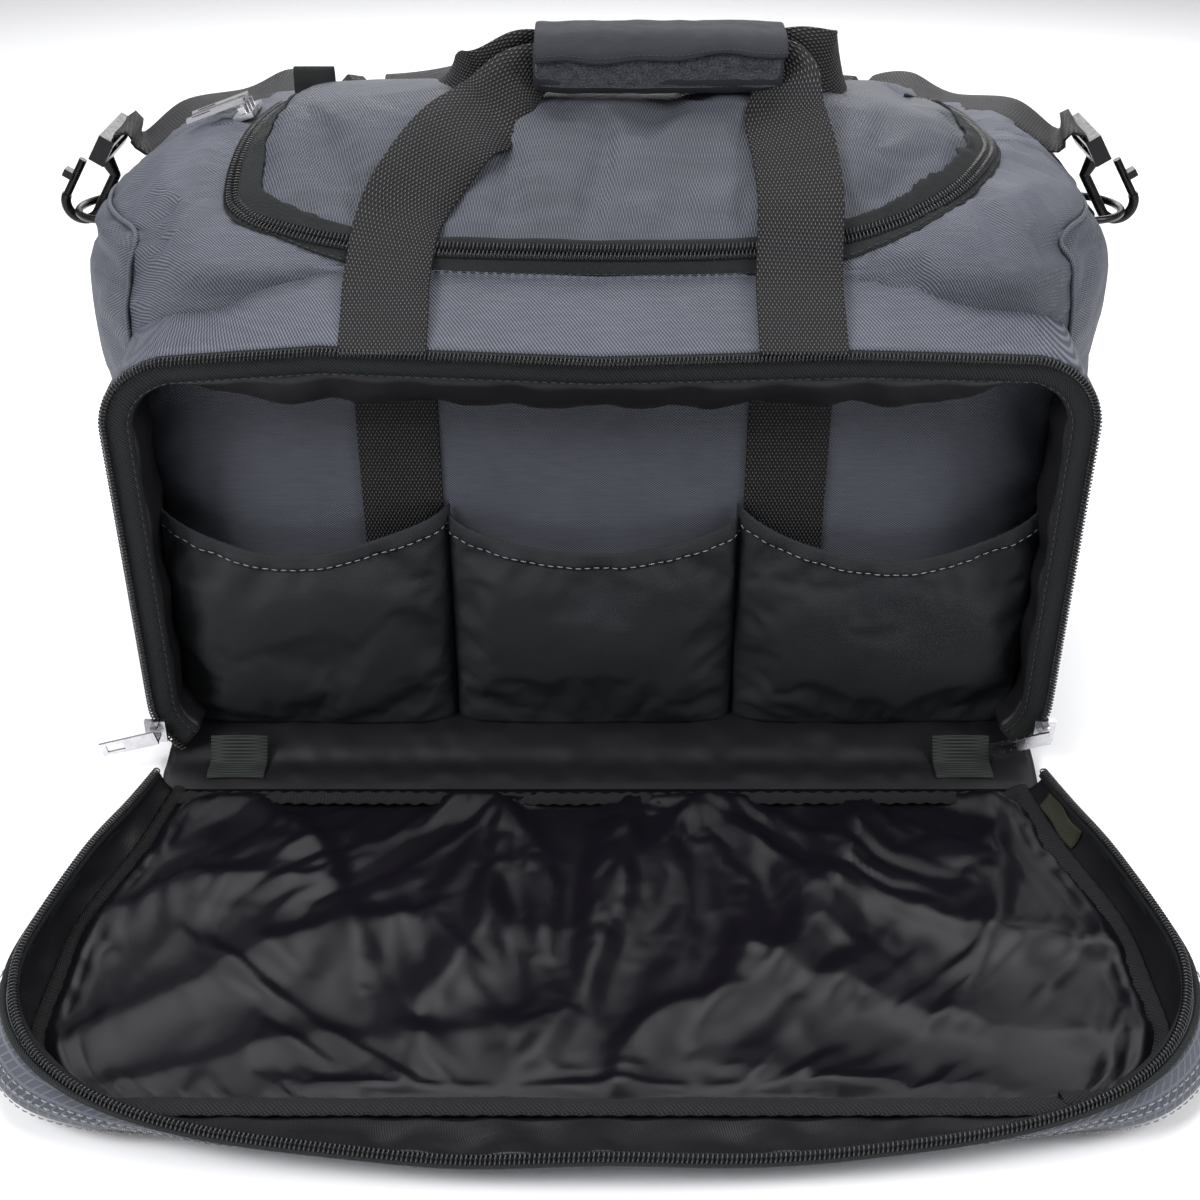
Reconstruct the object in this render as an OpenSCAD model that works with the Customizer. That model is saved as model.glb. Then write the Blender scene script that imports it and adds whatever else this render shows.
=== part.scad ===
// Soft-sided flight bag: a grey duffel body with a zipped domed lid, two webbing
// handles joined in a wrapped grip, a shoulder strap on two end rings, and a full-width
// front pocket whose tray-shaped cover folds down flat in front of the bag.
// Frame: origin at the centre of the bag's base, +X to the right end, +Y to the back, +Z up.
// The model is drawn with the lid closed and the front cover lying open.

/* [Body] */
// Width of the body from end to end
body_w = 490; // [460:2:500]
// Depth of the body from front wall to back wall
body_d = 250; // [240:2:260]
// Height of the upright walls
wall_h = 226; // [220:1:230]
// Height of the top of the domed lid
crown_h = 298; // [294:1:300]
// Radius of the body's upright corners
corner_r = 60; // [50:1:70]
// Thickness of the walls
wall_t = 3; // [2.5:0.5:4]
// Thickness of the padded top
pad_top = 5; // [4:0.5:6]

/* [Lid] */
// Width of the zipped opening
lid_w = 344; // [330:2:352]
// Depth of the zipped opening
lid_d = 142; // [136:1:150]
// Corner radius of the zipped opening
lid_r = 62; // [50:1:75]

/* [Front pocket] */
// Width of the pocket rim
rim_w = 430; // [420:2:436]
// Height of the top of the pocket rim
rim_top = 210; // [206:1:214]
// How far the pocket rim stands out from the front wall
rim_depth = 35; // [30:1:38]
// Length of the cover's panel from its hinge seam to its front seam
flap_len = 196; // [190:1:200]
// Height of the cover's side walls
flap_wall = 31; // [28:1:34]

/* [Webbing] */
// Width of the handle and shoulder webbing
web_w = 38; // [36:1:40]
// Thickness of the webbing
web_t = 2; // [1.5:0.1:2.4]

/* [Grip] */
// Length of the wrapped grip
grip_len = 112; // [100:1:120]
// Depth of the wrapped grip
grip_d = 40; // [38:1:42]
// Height of the wrapped grip
grip_h = 30; // [28:1:31]

/* [Hardware] */
// Radius of the ring wire
wire_r = 2; // [1.8:0.1:2.2]
// Inner half width of the D ring
ring_r = 21; // [20:0.5:22]

/* [Hidden] */
$fn = 48;

grey = "#6b6e76";
black = "#1c1c20";
charcoal = "#2c3034";
lining_black = "#17161b";
silver = "#c4c6c8";

base_t = 3;                       // outer base fabric
board_t = 3;                      // stiffener board on top of it
gap = 0.4;                        // between pieces that move past each other
lie = 0.2;                        // between pieces that lie on each other
wall_y = -body_d / 2;             // outer face of the front wall
rim_y = wall_y - rim_depth;       // plane of the pocket rim
rim_r = 32;                       // corner radius of the pocket rim
rim_bottom = 5;
gusset_t = 2.5;
tape_t = 1;
tape_w = 11;                      // width of one zip tape
coil_w = 3.2;                     // width and height of one zip coil
coil_h = 2.4;
lid_x = 8;                        // the opening sits a little to the right
lid_front = -118;                 // front edge of the opening
lid_back = lid_front + lid_d;     // the lid folds along this line
lid_seam = 1.6;                   // gap between the lid and the deck
zip_end_y = -2;                   // where the lid zip ends on the left
hinge_y = rim_y - 28;             // hinge seam of the front cover
hinge_z = 2;
flap_half = 226;                  // half width of the cover at its front corners
flap_half_back = 208;             // half width of the cover at its hinge seam
flap_corner = 46;                 // radius of the cover's front corners
lip_len = 36;                     // length of the cover's front wall
lip_rise = 23;                    // slope in degrees at which the front wall lies open
leg_x_left = -93;                 // centres of the front webbing on the wall
leg_x_right = 87;
back_x_left = -92;
back_x_right = 100;
pivot_y = wall_y - 4;             // where the front handle's webbing leaves the wall
pivot_z = 237;
grip_x = 26;                      // centre of the grip
grip_y = -46;
grip_z = 304;                     // underside of the grip
pad_t = 3;
ring_x = body_w / 2 + 5;          // pivot bar of the D rings
ring_z = 222;
ring_y = 22;
slider_x = rim_w / 2 + 1;         // foot of the pocket zip, where its sliders rest
slider_z = 22;
side_x = lid_x - lid_w / 2;       // straight left run of the lid zip
side_z = 279;
side_slope = 18;                  // fall of the dome there, in degrees

// ---------- shared shapes ----------

// A rounded rectangle centred on the origin.
module rounded(w, d, r) {
    offset(r) square([w - 2 * r, d - 2 * r], center = true);
}

// A thin slice of a rounded rectangle at height z, centred on y.
module slice(z, y, w, d, r) {
    translate([0, y, z]) linear_extrude(0.1) rounded(w, d, r, $fn = 32);
}

// The dome's sections: share of its rise, shift in y, how much narrower and how much
// shallower than the body, and corner radius.
dome = [[0, 0, 0, 0, corner_r], [0.33, 0, 20, 18, corner_r], [0.53, -3, 76, 68, corner_r],
    [0.82, -31, 200, 163, 40], [0.99, -46, 380, 228, 10]];

// The domed form of the whole top, grown outwards by g all over. Its crown lies towards
// the front, and it falls away to the back.
module top_form(g = 0) {
    rise = crown_h - wall_h;
    hull() for (s = dome)
        slice(wall_h + s[0] * rise + (s[0] > 0 ? g : 0), s[1],
            body_w - s[2] + 2 * g, body_d - s[3] + 2 * g, s[4] + g);
}

// A skin of the top form between two offsets.
module top_skin(from, to) {
    difference() {
        top_form(to);
        translate([0, 0, -0.2]) top_form(from);
    }
}

// The outline of the zipped opening, grown by g, as a tall prism. Its front corners are
// round and its back edge is straight.
module lid_prism(g, back = lid_back) {
    translate([lid_x, 0, wall_h - 20]) linear_extrude(120) intersection() {
        translate([0, lid_front + lid_d]) rounded(lid_w + 2 * g, 2 * lid_d + 2 * g, lid_r + g);
        translate([-300, -300]) square([600, 300 + back]);
    }
}

// A prism band that follows the zip round the front and both sides of the opening.
module lid_band(inner, outer) {
    difference() {
        lid_prism(outer);
        translate([0, 0, -1]) lid_prism(inner, lid_back + 1);
        translate([-300, zip_end_y, 0]) cube([300, 200, 400]);
    }
}

// One upright wall ring of the body, as a prism.
module wall_ring() {
    translate([0, 0, base_t]) linear_extrude(wall_h - base_t) difference() {
        rounded(body_w, body_d, corner_r);
        rounded(body_w - 2 * wall_t, body_d - 2 * wall_t, corner_r - wall_t);
    }
}

// The pocket rim's outline in the XZ plane, shrunk by s, extruded from y0 to y1.
module rim_solid(s, y0, y1) {
    h = rim_top - rim_bottom;
    translate([0, y1, rim_bottom + h / 2]) rotate([90, 0, 0]) linear_extrude(y1 - y0)
        rounded(rim_w - 2 * s, h - 2 * s, rim_r - s);
}

// A ring of the rim between two insets.
module rim_ring(outer, inner, y0, y1) {
    difference() {
        rim_solid(outer, y0, y1);
        rim_solid(inner, y0 - 1, y1 + 1);
    }
}

// A flat band swept through points, its width held along w (unit vector) at each point.
function unit(v) = v / norm(v);
function tangent(p, i) = unit(p[min(i + 1, len(p) - 1)] - p[max(i - 1, 0)]);
function corner(p, i, side, face, w, h, t) =
    let (n = unit(cross(tangent(p, i), w)))
    p[i] + side * h / 2 * w + face * t / 2 * n;
module sweep_band(p, w, h, t) {
    n = len(p);
    sides = [[-1, -1], [1, -1], [1, 1], [-1, 1]];
    pts = [for (i = [0:n - 1]) for (s = sides) corner(p, i, s[0], s[1], w, h, t)];
    walls = [for (i = [0:n - 2]) for (k = [0:3])
        [4 * i + k, 4 * i + (k + 1) % 4, 4 * i + 4 + (k + 1) % 4, 4 * i + 4 + k]];
    polyhedron(pts, concat([[3, 2, 1, 0]], walls,
        [[4 * n - 4, 4 * n - 3, 4 * n - 2, 4 * n - 1]]), convexity = 6);
}

// Points along a cubic curve.
function bezier(a, b, c, d, n) = [for (i = [0:n]) let (t = i / n, u = 1 - t)
    u * u * u * a + 3 * u * u * t * b + 3 * u * t * t * c + t * t * t * d];

// ---------- body ----------

module base_panel() {
    color(grey) linear_extrude(base_t) rounded(body_w, body_d, corner_r);
}

module base_board() {
    color(charcoal) translate([0, 0, base_t]) linear_extrude(board_t)
        rounded(body_w - 2 * wall_t - 4, body_d - 2 * wall_t - 4, corner_r - wall_t - 2);
}

// The body's walls, split at the start of the rounded corners.
wall_half = body_w / 2 - corner_r;
module front_wall() {
    color(grey) intersection() {
        wall_ring();
        translate([-wall_half, wall_y - 1, 0]) cube([2 * wall_half, wall_t + 1, 400]);
    }
}
module back_wall() {
    color(grey) intersection() {
        wall_ring();
        translate([-wall_half, -wall_y - wall_t, 0]) cube([2 * wall_half, wall_t + 1, 400]);
    }
}
module end_wall(side) {
    color(grey) intersection() {
        wall_ring();
        translate([side > 0 ? wall_half : -300, -200, 0]) cube([300 - wall_half, 400, 400]);
    }
}

// The top of the body around the zipped opening.
module deck() {
    color(grey) difference() {
        top_skin(-pad_top, 0);
        lid_prism(0);
    }
}

// ---------- lid and its zip ----------

module lid_panel() {
    color(grey) intersection() {
        top_skin(-pad_top, 0);
        lid_prism(-lid_seam, lid_back - 1);
    }
}

// Each half of the zip is a tape with a coil along its edge.
module lid_zip_outer() {
    color(black) {
        intersection() {
            top_skin(lie, tape_t);
            lid_band(gap, tape_w / 2);
        }
        intersection() {
            top_skin(tape_t, coil_h);
            lid_band(gap, coil_w);
        }
    }
}
module lid_zip_inner() {
    color(black) {
        intersection() {
            top_skin(lie, tape_t);
            lid_band(-lid_seam - tape_w, -lid_seam);
        }
        intersection() {
            top_skin(tape_t, coil_h);
            lid_band(-lid_seam - coil_w, -lid_seam);
        }
    }
}

// Folded fabric tab that stands up at the end of the lid zip.
module zip_end_tab() {
    color(black) translate([side_x + 14, 3, side_z + 6]) cube([20, 2.4, 13]);
}

// ---------- front pocket ----------

rim_half = rim_w / 2 - rim_r;
module pocket_gusset() {
    color(lining_black) rim_ring(0, gusset_t, rim_y, wall_y);
}
module middle_slab() {
    translate([-rim_half, -400, 0]) cube([2 * rim_half, 400, 400]);
}
module pocket_gusset_top_bottom() {
    intersection() {
        pocket_gusset();
        middle_slab();
    }
}
module pocket_gusset_sides() {
    difference() {
        pocket_gusset();
        middle_slab();
    }
}

zip_foot = 14;                    // the zip ends this high above the ground

// Bag half of the pocket zip, open along the bottom where the cover hinges.
module pocket_zip() {
    color(black) difference() {
        union() {
            rim_ring(0, tape_w, rim_y - tape_t, rim_y);
            rim_ring(0, coil_w, rim_y - coil_h - tape_t, rim_y - tape_t);
        }
        translate([-rim_half - 12, rim_y - 10, 0]) cube([2 * rim_half + 24, 20, 30]);
        translate([-300, rim_y - 10, -10]) cube([600, 20, zip_foot + 10]);
    }
}

organiser_depth = 19;
organiser_t = 2;

// One organiser pocket: front, sides and bottom, open at the top and backed by the wall.
module organiser(x0, x1, h) {
    t = organiser_t;
    front = wall_y - organiser_depth;
    color(charcoal) difference() {
        intersection() {
            translate([x0, front, rim_bottom + gusset_t])
                cube([x1 - x0, organiser_depth, h]);
            rim_solid(gusset_t + lie, rim_y, wall_y);
        }
        intersection() {
            translate([x0 + t, front + t, 0]) cube([x1 - x0 - 2 * t, 100, 300]);
            rim_solid(gusset_t + lie + t, rim_y, 0);
        }
    }
}
module organiser_left() {
    organiser(-rim_w / 2 + 7, -73, 122);
}
module organiser_middle() {
    organiser(-71, 65, 116);
}
module organiser_right() {
    organiser(67, rim_w / 2 - 7, 118);
}

// Fabric strip between the rim's lower edge and the cover's hinge seam, with a grosgrain
// tab over each end.
module hinge_strip() {
    color(lining_black) translate([-flap_half_back + 4, hinge_y + gap + 2.6, 1])
        cube([2 * flap_half_back - 8, rim_y - hinge_y - gap - 3, 2]);
    color(charcoal) for (x = [-flap_half_back + 10, flap_half_back - 40])
        translate([x, rim_y - 13, 3]) cube([30, 12, 1.4]);
}

// ---------- webbing on the walls ----------

strap_top = pivot_z - web_t;
module wall_strap(x, y, z0, z1) {
    color(black) translate([x - web_w / 2, y, z0]) cube([web_w, web_t, z1 - z0]);
}
// The front webbing passes through the pocket's top gusset.
module front_wall_straps() {
    for (x = [leg_x_left, leg_x_right]) {
        wall_strap(x, wall_y - web_t, rim_top, strap_top);
        wall_strap(x, wall_y - web_t, 130, rim_top - gusset_t);
    }
}
module back_wall_straps() {
    for (x = [back_x_left, back_x_right]) wall_strap(x, -wall_y, 60, strap_top);
}

// ---------- front cover ----------

// Outline of the cover seen from above, grown by g.
module flap_outline(g = 0) {
    front = hinge_y - flap_len;
    offset(delta = g) polygon(concat(
        [[-flap_half_back, hinge_y - gap], [-flap_half, hinge_y - 120]],
        [for (a = [180:10:270]) [-flap_half + flap_corner, front + flap_corner]
            + flap_corner * [cos(a), sin(a)]],
        [for (a = [270:10:360]) [flap_half - flap_corner, front + flap_corner]
            + flap_corner * [cos(a), sin(a)]],
        [[flap_half, hinge_y - 120], [flap_half_back, hinge_y - gap]]));
}

module flap_panel() {
    color(grey) linear_extrude(2) flap_outline();
}
module flap_lining() {
    color(lining_black) translate([0, 0, 2]) linear_extrude(1) flap_outline(-2);
}

// The cover's side walls fall away towards the hinge. This is the band between two
// heights, with its own lower height at the hinge.
side_start = hinge_y - 16;
side_full = hinge_y - 100;
side_end = hinge_y - flap_len + 14;
side_drop = 16;                   // how much lower the walls are at the hinge
module side_profile(low_start, low, high) {
    rotate([90, 0, 90]) linear_extrude(800, center = true) polygon([
        [side_start, low_start], [side_start, high - side_drop],
        [side_full, high], [side_end, high], [side_end, low], [side_full, low]]);
}
module flap_side(side) {
    color(lining_black) intersection() {
        linear_extrude(100) difference() {
            flap_outline();
            flap_outline(-2);
        }
        side_profile(3, 3, flap_wall);
        translate([side > 0 ? 0 : -400, -600, 0]) cube([400, 600, 100]);
    }
}
module flap_gusset_left() {
    flap_side(-1);
}
module flap_gusset_right() {
    flap_side(1);
}

// Binding tape over the cover's inner seams.
module flap_binding() {
    color(black) translate([0, 0, 3]) linear_extrude(1) difference() {
        flap_outline(-3);
        flap_outline(-12);
    }
}

// Zip coil along the top of the cover's side walls.
module flap_zip_sides() {
    color(black) intersection() {
        linear_extrude(100) difference() {
            flap_outline();
            flap_outline(-coil_h);
        }
        side_profile(flap_wall - side_drop, flap_wall, flap_wall + coil_w);
    }
}

// The cover's front wall leans outwards while the cover lies open.
lip_half = flap_half - flap_corner;
module lip(from, to, t) {
    translate([0, hinge_y - flap_len - gap, hinge_z - 1]) mirror([0, 1, 0])
        rotate([lip_rise, 0, 0]) translate([-lip_half, from, 0])
            cube([2 * lip_half, to - from, t]);
}
module flap_gusset_front() {
    color(lining_black) lip(1, lip_len, 2);
}
module flap_zip_front() {
    color(black) lip(lip_len, lip_len + coil_w, coil_h);
}

// ---------- handles ----------

leg_reach = grip_len / 2 + web_w / 2 + 2.5;    // from the grip's middle to a leg's end

// One webbing leg from the top of a wall to the grip's end.
module front_leg(x0, x1) {
    color(black) sweep_band(bezier([x0, pivot_y, pivot_z], [x0, pivot_y - 12, pivot_z + 34],
        [(x0 + x1) / 2, grip_y - 46, grip_z + 12], [x1, grip_y - 8, grip_z + 15], 12),
        [1, 0, 0], web_w, web_t);
}
module front_leg_left() {
    front_leg(leg_x_left, grip_x - leg_reach);
}
module front_leg_right() {
    front_leg(leg_x_right, grip_x + leg_reach);
}
module back_leg(x0, x1) {
    color(black) sweep_band(bezier([x0, -pivot_y, pivot_z], [x0, -pivot_y + 12, pivot_z + 60],
        [(x0 + x1) / 2, 50, grip_z + 20], [x1, grip_y + 8, grip_z + 15], 14),
        [1, 0, 0], web_w, web_t);
}
module back_leg_left() {
    back_leg(back_x_left, grip_x - leg_reach);
}
module back_leg_right() {
    back_leg(back_x_right, grip_x + leg_reach);
}

// Folded webbing inside the grip.
module bar(y) {
    color(black) translate([grip_x - grip_len / 2 - 1, y - 4, grip_z + 6])
        cube([grip_len + 2, 8, 17]);
}
module front_bar() {
    bar(grip_y - 8);
}
module back_bar() {
    bar(grip_y + 8);
}

// The grip's wrap: a front and bottom pad on the front handle, a back pad on the back
// handle, and a closing flap hinged along the top of the back pad.
module grip_box(y0, z0, d, h) {
    translate([grip_x - grip_len / 2, grip_y - grip_d / 2 + y0, grip_z + z0])
        cube([grip_len, d, h]);
}
module grip_pad() {
    color(charcoal) {
        grip_box(0, 0, pad_t, grip_h - pad_t - gap);
        grip_box(pad_t, 0, grip_d - 2 * pad_t - gap, pad_t);
    }
}
module grip_back() {
    color(charcoal) grip_box(grip_d - pad_t, 0, pad_t, grip_h - pad_t - gap);
}
module grip_flap() {
    color(charcoal) grip_box(0, grip_h - pad_t, grip_d, pad_t);
}

// ---------- rings, hooks and shoulder strap ----------

// Webbing tab sewn to the end wall, looped round the ring's bar.
module ring_tab(side) {
    x = side * ring_x;
    wall_x = body_w / 2;
    color(black) difference() {
        union() {
            translate([x, ring_y - 15, ring_z]) rotate([-90, 0, 0])
                cylinder(h = 30, r = wire_r + 2.6);
            translate([side > 0 ? wall_x : -wall_x - 2.4, ring_y - web_w / 2, ring_z - 48])
                cube([2.4, web_w, 46]);
        }
        translate([x, ring_y - 20, ring_z]) rotate([-90, 0, 0])
            cylinder(h = 40, r = wire_r + 0.06);
    }
}

// A D ring lying outwards from its bar.
module d_ring(side) {
    color(black) translate([side * ring_x, ring_y, ring_z]) {
        rotate([-90, 0, 0]) cylinder(h = 2 * ring_r, r = wire_r, center = true);
        rotate([0, 0, side > 0 ? -90 : 90]) rotate_extrude(angle = 180)
            translate([ring_r, 0]) circle(wire_r);
        for (y = [-ring_r, ring_r]) translate([0, y, 0]) sphere(wire_r);
    }
}

// A snap hook in its own frame: the ring wire passes through the origin along Y, and the
// shank rises along +Z to the swivel eye.
hook_in = 6;
hook_wire = 2.6;
hook_bow = hook_in + hook_wire;
hook_lift = 3.2;                  // the ring sits low in the hook's bow
pin_r = 2.5;
pin_play = 0.06;
eye_foot = 35;                    // underside of the swivel eye
eye_top = 49;
module hook_shape() {
    $fn = 24;
    translate([0, 0, hook_lift]) rotate([90, 0, 0]) rotate([0, 0, 180])
        rotate_extrude(angle = 180) translate([hook_bow, 0]) circle(hook_wire);
    translate([-hook_bow, 0, hook_lift]) cylinder(h = 22, r = hook_wire);
    hull() {
        translate([-hook_bow, 0, 26]) sphere(hook_wire);
        translate([0, 0, 30]) cylinder(h = 4, r = 4);
    }
    translate([0, 0, 30]) cylinder(h = 4.6, r = 4);
    swivel_pin();
}
module swivel_pin() {
    translate([0, 0, 34]) cylinder(h = 6, r = pin_r);
    translate([0, 0, 39.4]) cylinder(h = 1.8, r = 3.4);
}
module gate_shape() {
    translate([hook_bow, 0, hook_lift + gap]) cylinder(h = 21, r = 2, $fn = 24);
    translate([hook_bow + 1, -3, 12]) cube([5, 6, 4]);
}
module eye_shape() {
    difference() {
        translate([-4, -web_w / 2 - 3, eye_foot]) cube([8, web_w + 6, eye_top - eye_foot]);
        translate([-5, -web_w / 2 - 0.5, eye_foot + 4]) cube([10, web_w + 1, 7]);
        translate([0, 0, eye_foot - 1]) cylinder(h = 6, r = pin_r + pin_play);
    }
}
hook_tilt = 32;
module place_hook(side) {
    mirror([side < 0 ? 1 : 0, 0, 0]) translate([ring_x + ring_r, ring_y, ring_z])
        rotate([0, -hook_tilt, 0]) children();
}
module hook(side) {
    color(black) place_hook(side) hook_shape();
}
module hook_gate(side) {
    color(black) place_hook(side) gate_shape();
}
module swivel_eye(side) {
    color(black) place_hook(side) eye_shape();
}

// The shoulder strap's centreline: over one shoulder, then hanging in a U behind the bag.
strap_y = body_d / 2 + web_w / 2 + 8;
eye_x = ring_x + ring_r - (eye_top + 1) * sin(hook_tilt);
eye_z = ring_z + (eye_top + 1) * cos(hook_tilt);
hang_x = 132;
hang_z = 244;
hang_low = 16;
hang_pull = (8 * hang_low - 2 * hang_z) / 6;
function shoulder(side) = bezier([side * eye_x, ring_y, eye_z],
    [side * (eye_x - 20), ring_y + 8, eye_z + 10],
    [side * (hang_x + 20), strap_y - 50, hang_z + 50], [side * hang_x, strap_y, hang_z], 14);
hang = bezier([hang_x - 1, strap_y, hang_z - 3], [hang_x - 40, strap_y, hang_pull],
    [-hang_x + 40, strap_y, hang_pull], [-hang_x + 1, strap_y, hang_z - 3], 26);
module strap_side(side) {
    color(black) sweep_band(shoulder(side), [0, 1, 0], web_w, web_t);
}
module strap_middle() {
    color(black) sweep_band(hang, [0, 1, 0], web_w, web_t);
}

// A frame with a slot, threaded on the hanging strap at point i.
module on_strap(i, size, slot) {
    d = tangent(hang, i);
    translate(hang[i]) rotate([0, atan2(d[0], d[2]), 0]) difference() {
        cube(size, center = true);
        cube([slot, web_w + 1, 100], center = true);
    }
}
module strap_adjuster() {
    color("#3a3b3f") on_strap(5, [7, web_w + 8, 24], 4);
}
module strap_keeper() {
    color(charcoal) on_strap(1, [6, web_w + 4, 9], 3.2);
}

// ---------- zip sliders and pulls ----------

// A slider body with a bail for its pull, in its own frame: it runs along Z.
module slider_shape() {
    translate([-5, 0, -6]) cube([10, 2.4, 12]);
    for (z = [-4, 3]) translate([-1.6, -3.2, z]) cube([3.2, 3.4, 1.4]);
}
// A pull hanging from the bail down -Z, pivoting on the X axis through [0, -2, 0].
module pull_shape(len) {
    difference() {
        translate([-3.5, -2.7, -len]) cube([7, 1.4, len + 1.6]);
        translate([-1.8, -5, -len + 3]) cube([3.6, 8, 9]);
    }
}
pull_len = 27;
pull_y = -3.4;                    // the pull's place in front of the slider
module pull(turn) {
    color(silver) translate([0, pull_y, 0]) rotate([0, turn, 0]) pull_shape(pull_len);
}
module slider() {
    color(silver) slider_shape();
}
// The pocket sliders stand just in front of the zip at the foot of the rim's sides.
slider_y = rim_y - coil_h - tape_t - 3;
module place_pocket(side) {
    translate([side * slider_x, slider_y, slider_z]) children();
}
// The lid sliders lie on the zip on the left side of the opening.
lid_slider_y = zip_end_y - 7;
slider_out = 6.2;                 // how far outside the lid's edge they stand
slider_lift = 3.6;                // and how far above its height there
slider_space = 13;
module place_lid(order) {
    translate([side_x - slider_out, lid_slider_y - slider_space * order, side_z + slider_lift])
        rotate([0, -side_slope, 0])
        rotate([-90, 0, 0]) children();
}

base_panel();
base_board();
front_wall();
back_wall();
end_wall(-1);  // left_end
end_wall(1);  // right_end
deck();
lid_zip_outer();
pocket_gusset_top_bottom();
pocket_gusset_sides();
pocket_zip();
organiser_left();
organiser_middle();
organiser_right();
hinge_strip();
front_wall_straps();
back_wall_straps();
ring_tab(-1);  // ring_tab_left
ring_tab(1);  // ring_tab_right
zip_end_tab();
strap_side(1);  // strap_right
strap_middle();
strap_side(-1);  // strap_left
strap_adjuster();
strap_keeper();
swivel_eye(-1);  // swivel_eye_left
swivel_eye(1);  // swivel_eye_right
lid_panel();
lid_zip_inner();
flap_panel();
flap_lining();
flap_gusset_left();
flap_gusset_right();
flap_binding();
flap_zip_sides();
flap_gusset_front();
flap_zip_front();
front_leg_left();
front_leg_right();
front_bar();
grip_pad();
back_leg_left();
back_leg_right();
back_bar();
grip_back();
grip_flap();
d_ring(-1);  // d_ring_left
d_ring(1);  // d_ring_right
hook(-1);  // hook_left
hook(1);  // hook_right
hook_gate(-1);  // hook_gate_left
hook_gate(1);  // hook_gate_right
place_lid(1) slider();  // lid_slider_front
place_lid(0) slider();  // lid_slider_back
place_lid(1) pull(80);  // lid_pull_front
place_lid(0) pull(80);  // lid_pull_back
place_pocket(-1) slider();  // pocket_slider_left
place_pocket(1) slider();  // pocket_slider_right
place_pocket(-1) pull(75);  // pocket_pull_left
place_pocket(1) pull(75);  // pocket_pull_right
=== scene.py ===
"""A soft-sided flight bag with its front pocket open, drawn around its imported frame.

All lengths in this file are millimetres until a mesh is made, and every place is worked
out from the frame's own boxes.
"""

import math

import bpy
import numpy as np
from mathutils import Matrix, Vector, noise
from mathutils.bvhtree import BVHTree


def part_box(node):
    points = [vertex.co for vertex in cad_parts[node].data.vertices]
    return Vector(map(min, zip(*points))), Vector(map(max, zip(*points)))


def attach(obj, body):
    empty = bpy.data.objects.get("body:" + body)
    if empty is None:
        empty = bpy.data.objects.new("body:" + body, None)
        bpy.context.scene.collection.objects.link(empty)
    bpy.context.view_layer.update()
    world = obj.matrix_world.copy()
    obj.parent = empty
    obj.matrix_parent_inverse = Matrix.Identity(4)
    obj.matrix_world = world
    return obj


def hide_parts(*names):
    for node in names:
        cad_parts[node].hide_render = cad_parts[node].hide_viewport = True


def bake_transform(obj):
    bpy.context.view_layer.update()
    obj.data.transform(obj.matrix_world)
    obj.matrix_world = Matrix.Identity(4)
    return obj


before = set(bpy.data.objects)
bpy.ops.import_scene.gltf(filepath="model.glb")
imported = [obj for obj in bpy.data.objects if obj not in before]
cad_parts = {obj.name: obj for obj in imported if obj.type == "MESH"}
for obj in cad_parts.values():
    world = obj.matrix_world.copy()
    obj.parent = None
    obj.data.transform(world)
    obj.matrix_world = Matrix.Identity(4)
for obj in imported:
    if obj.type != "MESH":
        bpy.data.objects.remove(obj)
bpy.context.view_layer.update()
MM = 0.001
UP = np.array([0.0, 0.0, 1.0])
ALONG_X = np.array([1.0, 0.0, 0.0])
FORWARD = np.array([0.0, -1.0, 0.0])


# ---------------------------------------------------------------- numbers from the frame

def span(node):
    """Lowest and highest corner of a CAD node, in millimetres."""
    low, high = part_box(node)
    return np.array(low) / MM, np.array(high) / MM


BASE_LOW, BASE_HIGH = span("base_panel")
BODY_W = BASE_HIGH[0] - BASE_LOW[0]
BODY_D = BASE_HIGH[1] - BASE_LOW[1]
WALL_Y = BASE_LOW[1]
WALL_H = span("front_wall")[1][2]
CROWN_H = span("lid_panel")[1][2]
RISE = CROWN_H - WALL_H
LID_LOW, LID_HIGH = span("lid_panel")
LID_X = (LID_LOW[0] + LID_HIGH[0]) / 2
LID_FRONT, LID_BACK = LID_LOW[1], LID_HIGH[1]
GUSSET_LOW, GUSSET_HIGH = span("pocket_gusset_top_bottom")
RIM_BOTTOM, RIM_TOP, RIM_Y = GUSSET_LOW[2], GUSSET_HIGH[2], GUSSET_LOW[1]
RIM_HALF = span("pocket_zip")[1][0]
FLAP_LOW, FLAP_HIGH = span("flap_panel")
HINGE_Y, FLAP_FRONT, FLAP_HALF = FLAP_HIGH[1], FLAP_LOW[1], FLAP_HIGH[0]
LIP_TOP = span("flap_zip_front")[1][2]
WEB_W = span("strap_middle")[1][1] - span("strap_middle")[0][1]
GRIP_LOW = span("grip_pad")[0]
GRIP_HIGH = np.maximum(span("grip_flap")[1], span("grip_back")[1])


# ---------------------------------------------------------------- curves

def unit(v):
    """Vectors of length one along the last axis."""
    return v / np.maximum(np.linalg.norm(v, axis=-1, keepdims=True), 1e-9)


def curve(points, step=None, count=None, closed=False, measure=3):
    """Evenly spaced points on a smooth curve through the given ones (Catmull-Rom).

    The spacing is measured in the first few columns; further columns are carried along."""
    p = np.array(points, float)
    if closed:
        p = np.vstack([p[-1], p, p[0], p[1]])
    else:
        p = np.vstack([2 * p[0] - p[1], p, 2 * p[-1] - p[-2]])
    t = np.linspace(0, 1, 24, endpoint=False)[:, None]
    runs = []
    for a, b, c, d in zip(p, p[1:], p[2:], p[3:]):
        runs.append(0.5 * (2 * b + (c - a) * t + (2 * a - 5 * b + 4 * c - d) * t ** 2
                           + (3 * b - a - 3 * c + d) * t ** 3))
    dense = np.vstack(runs + [p[-2]])
    return resample(dense, step, count, measure)


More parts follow.
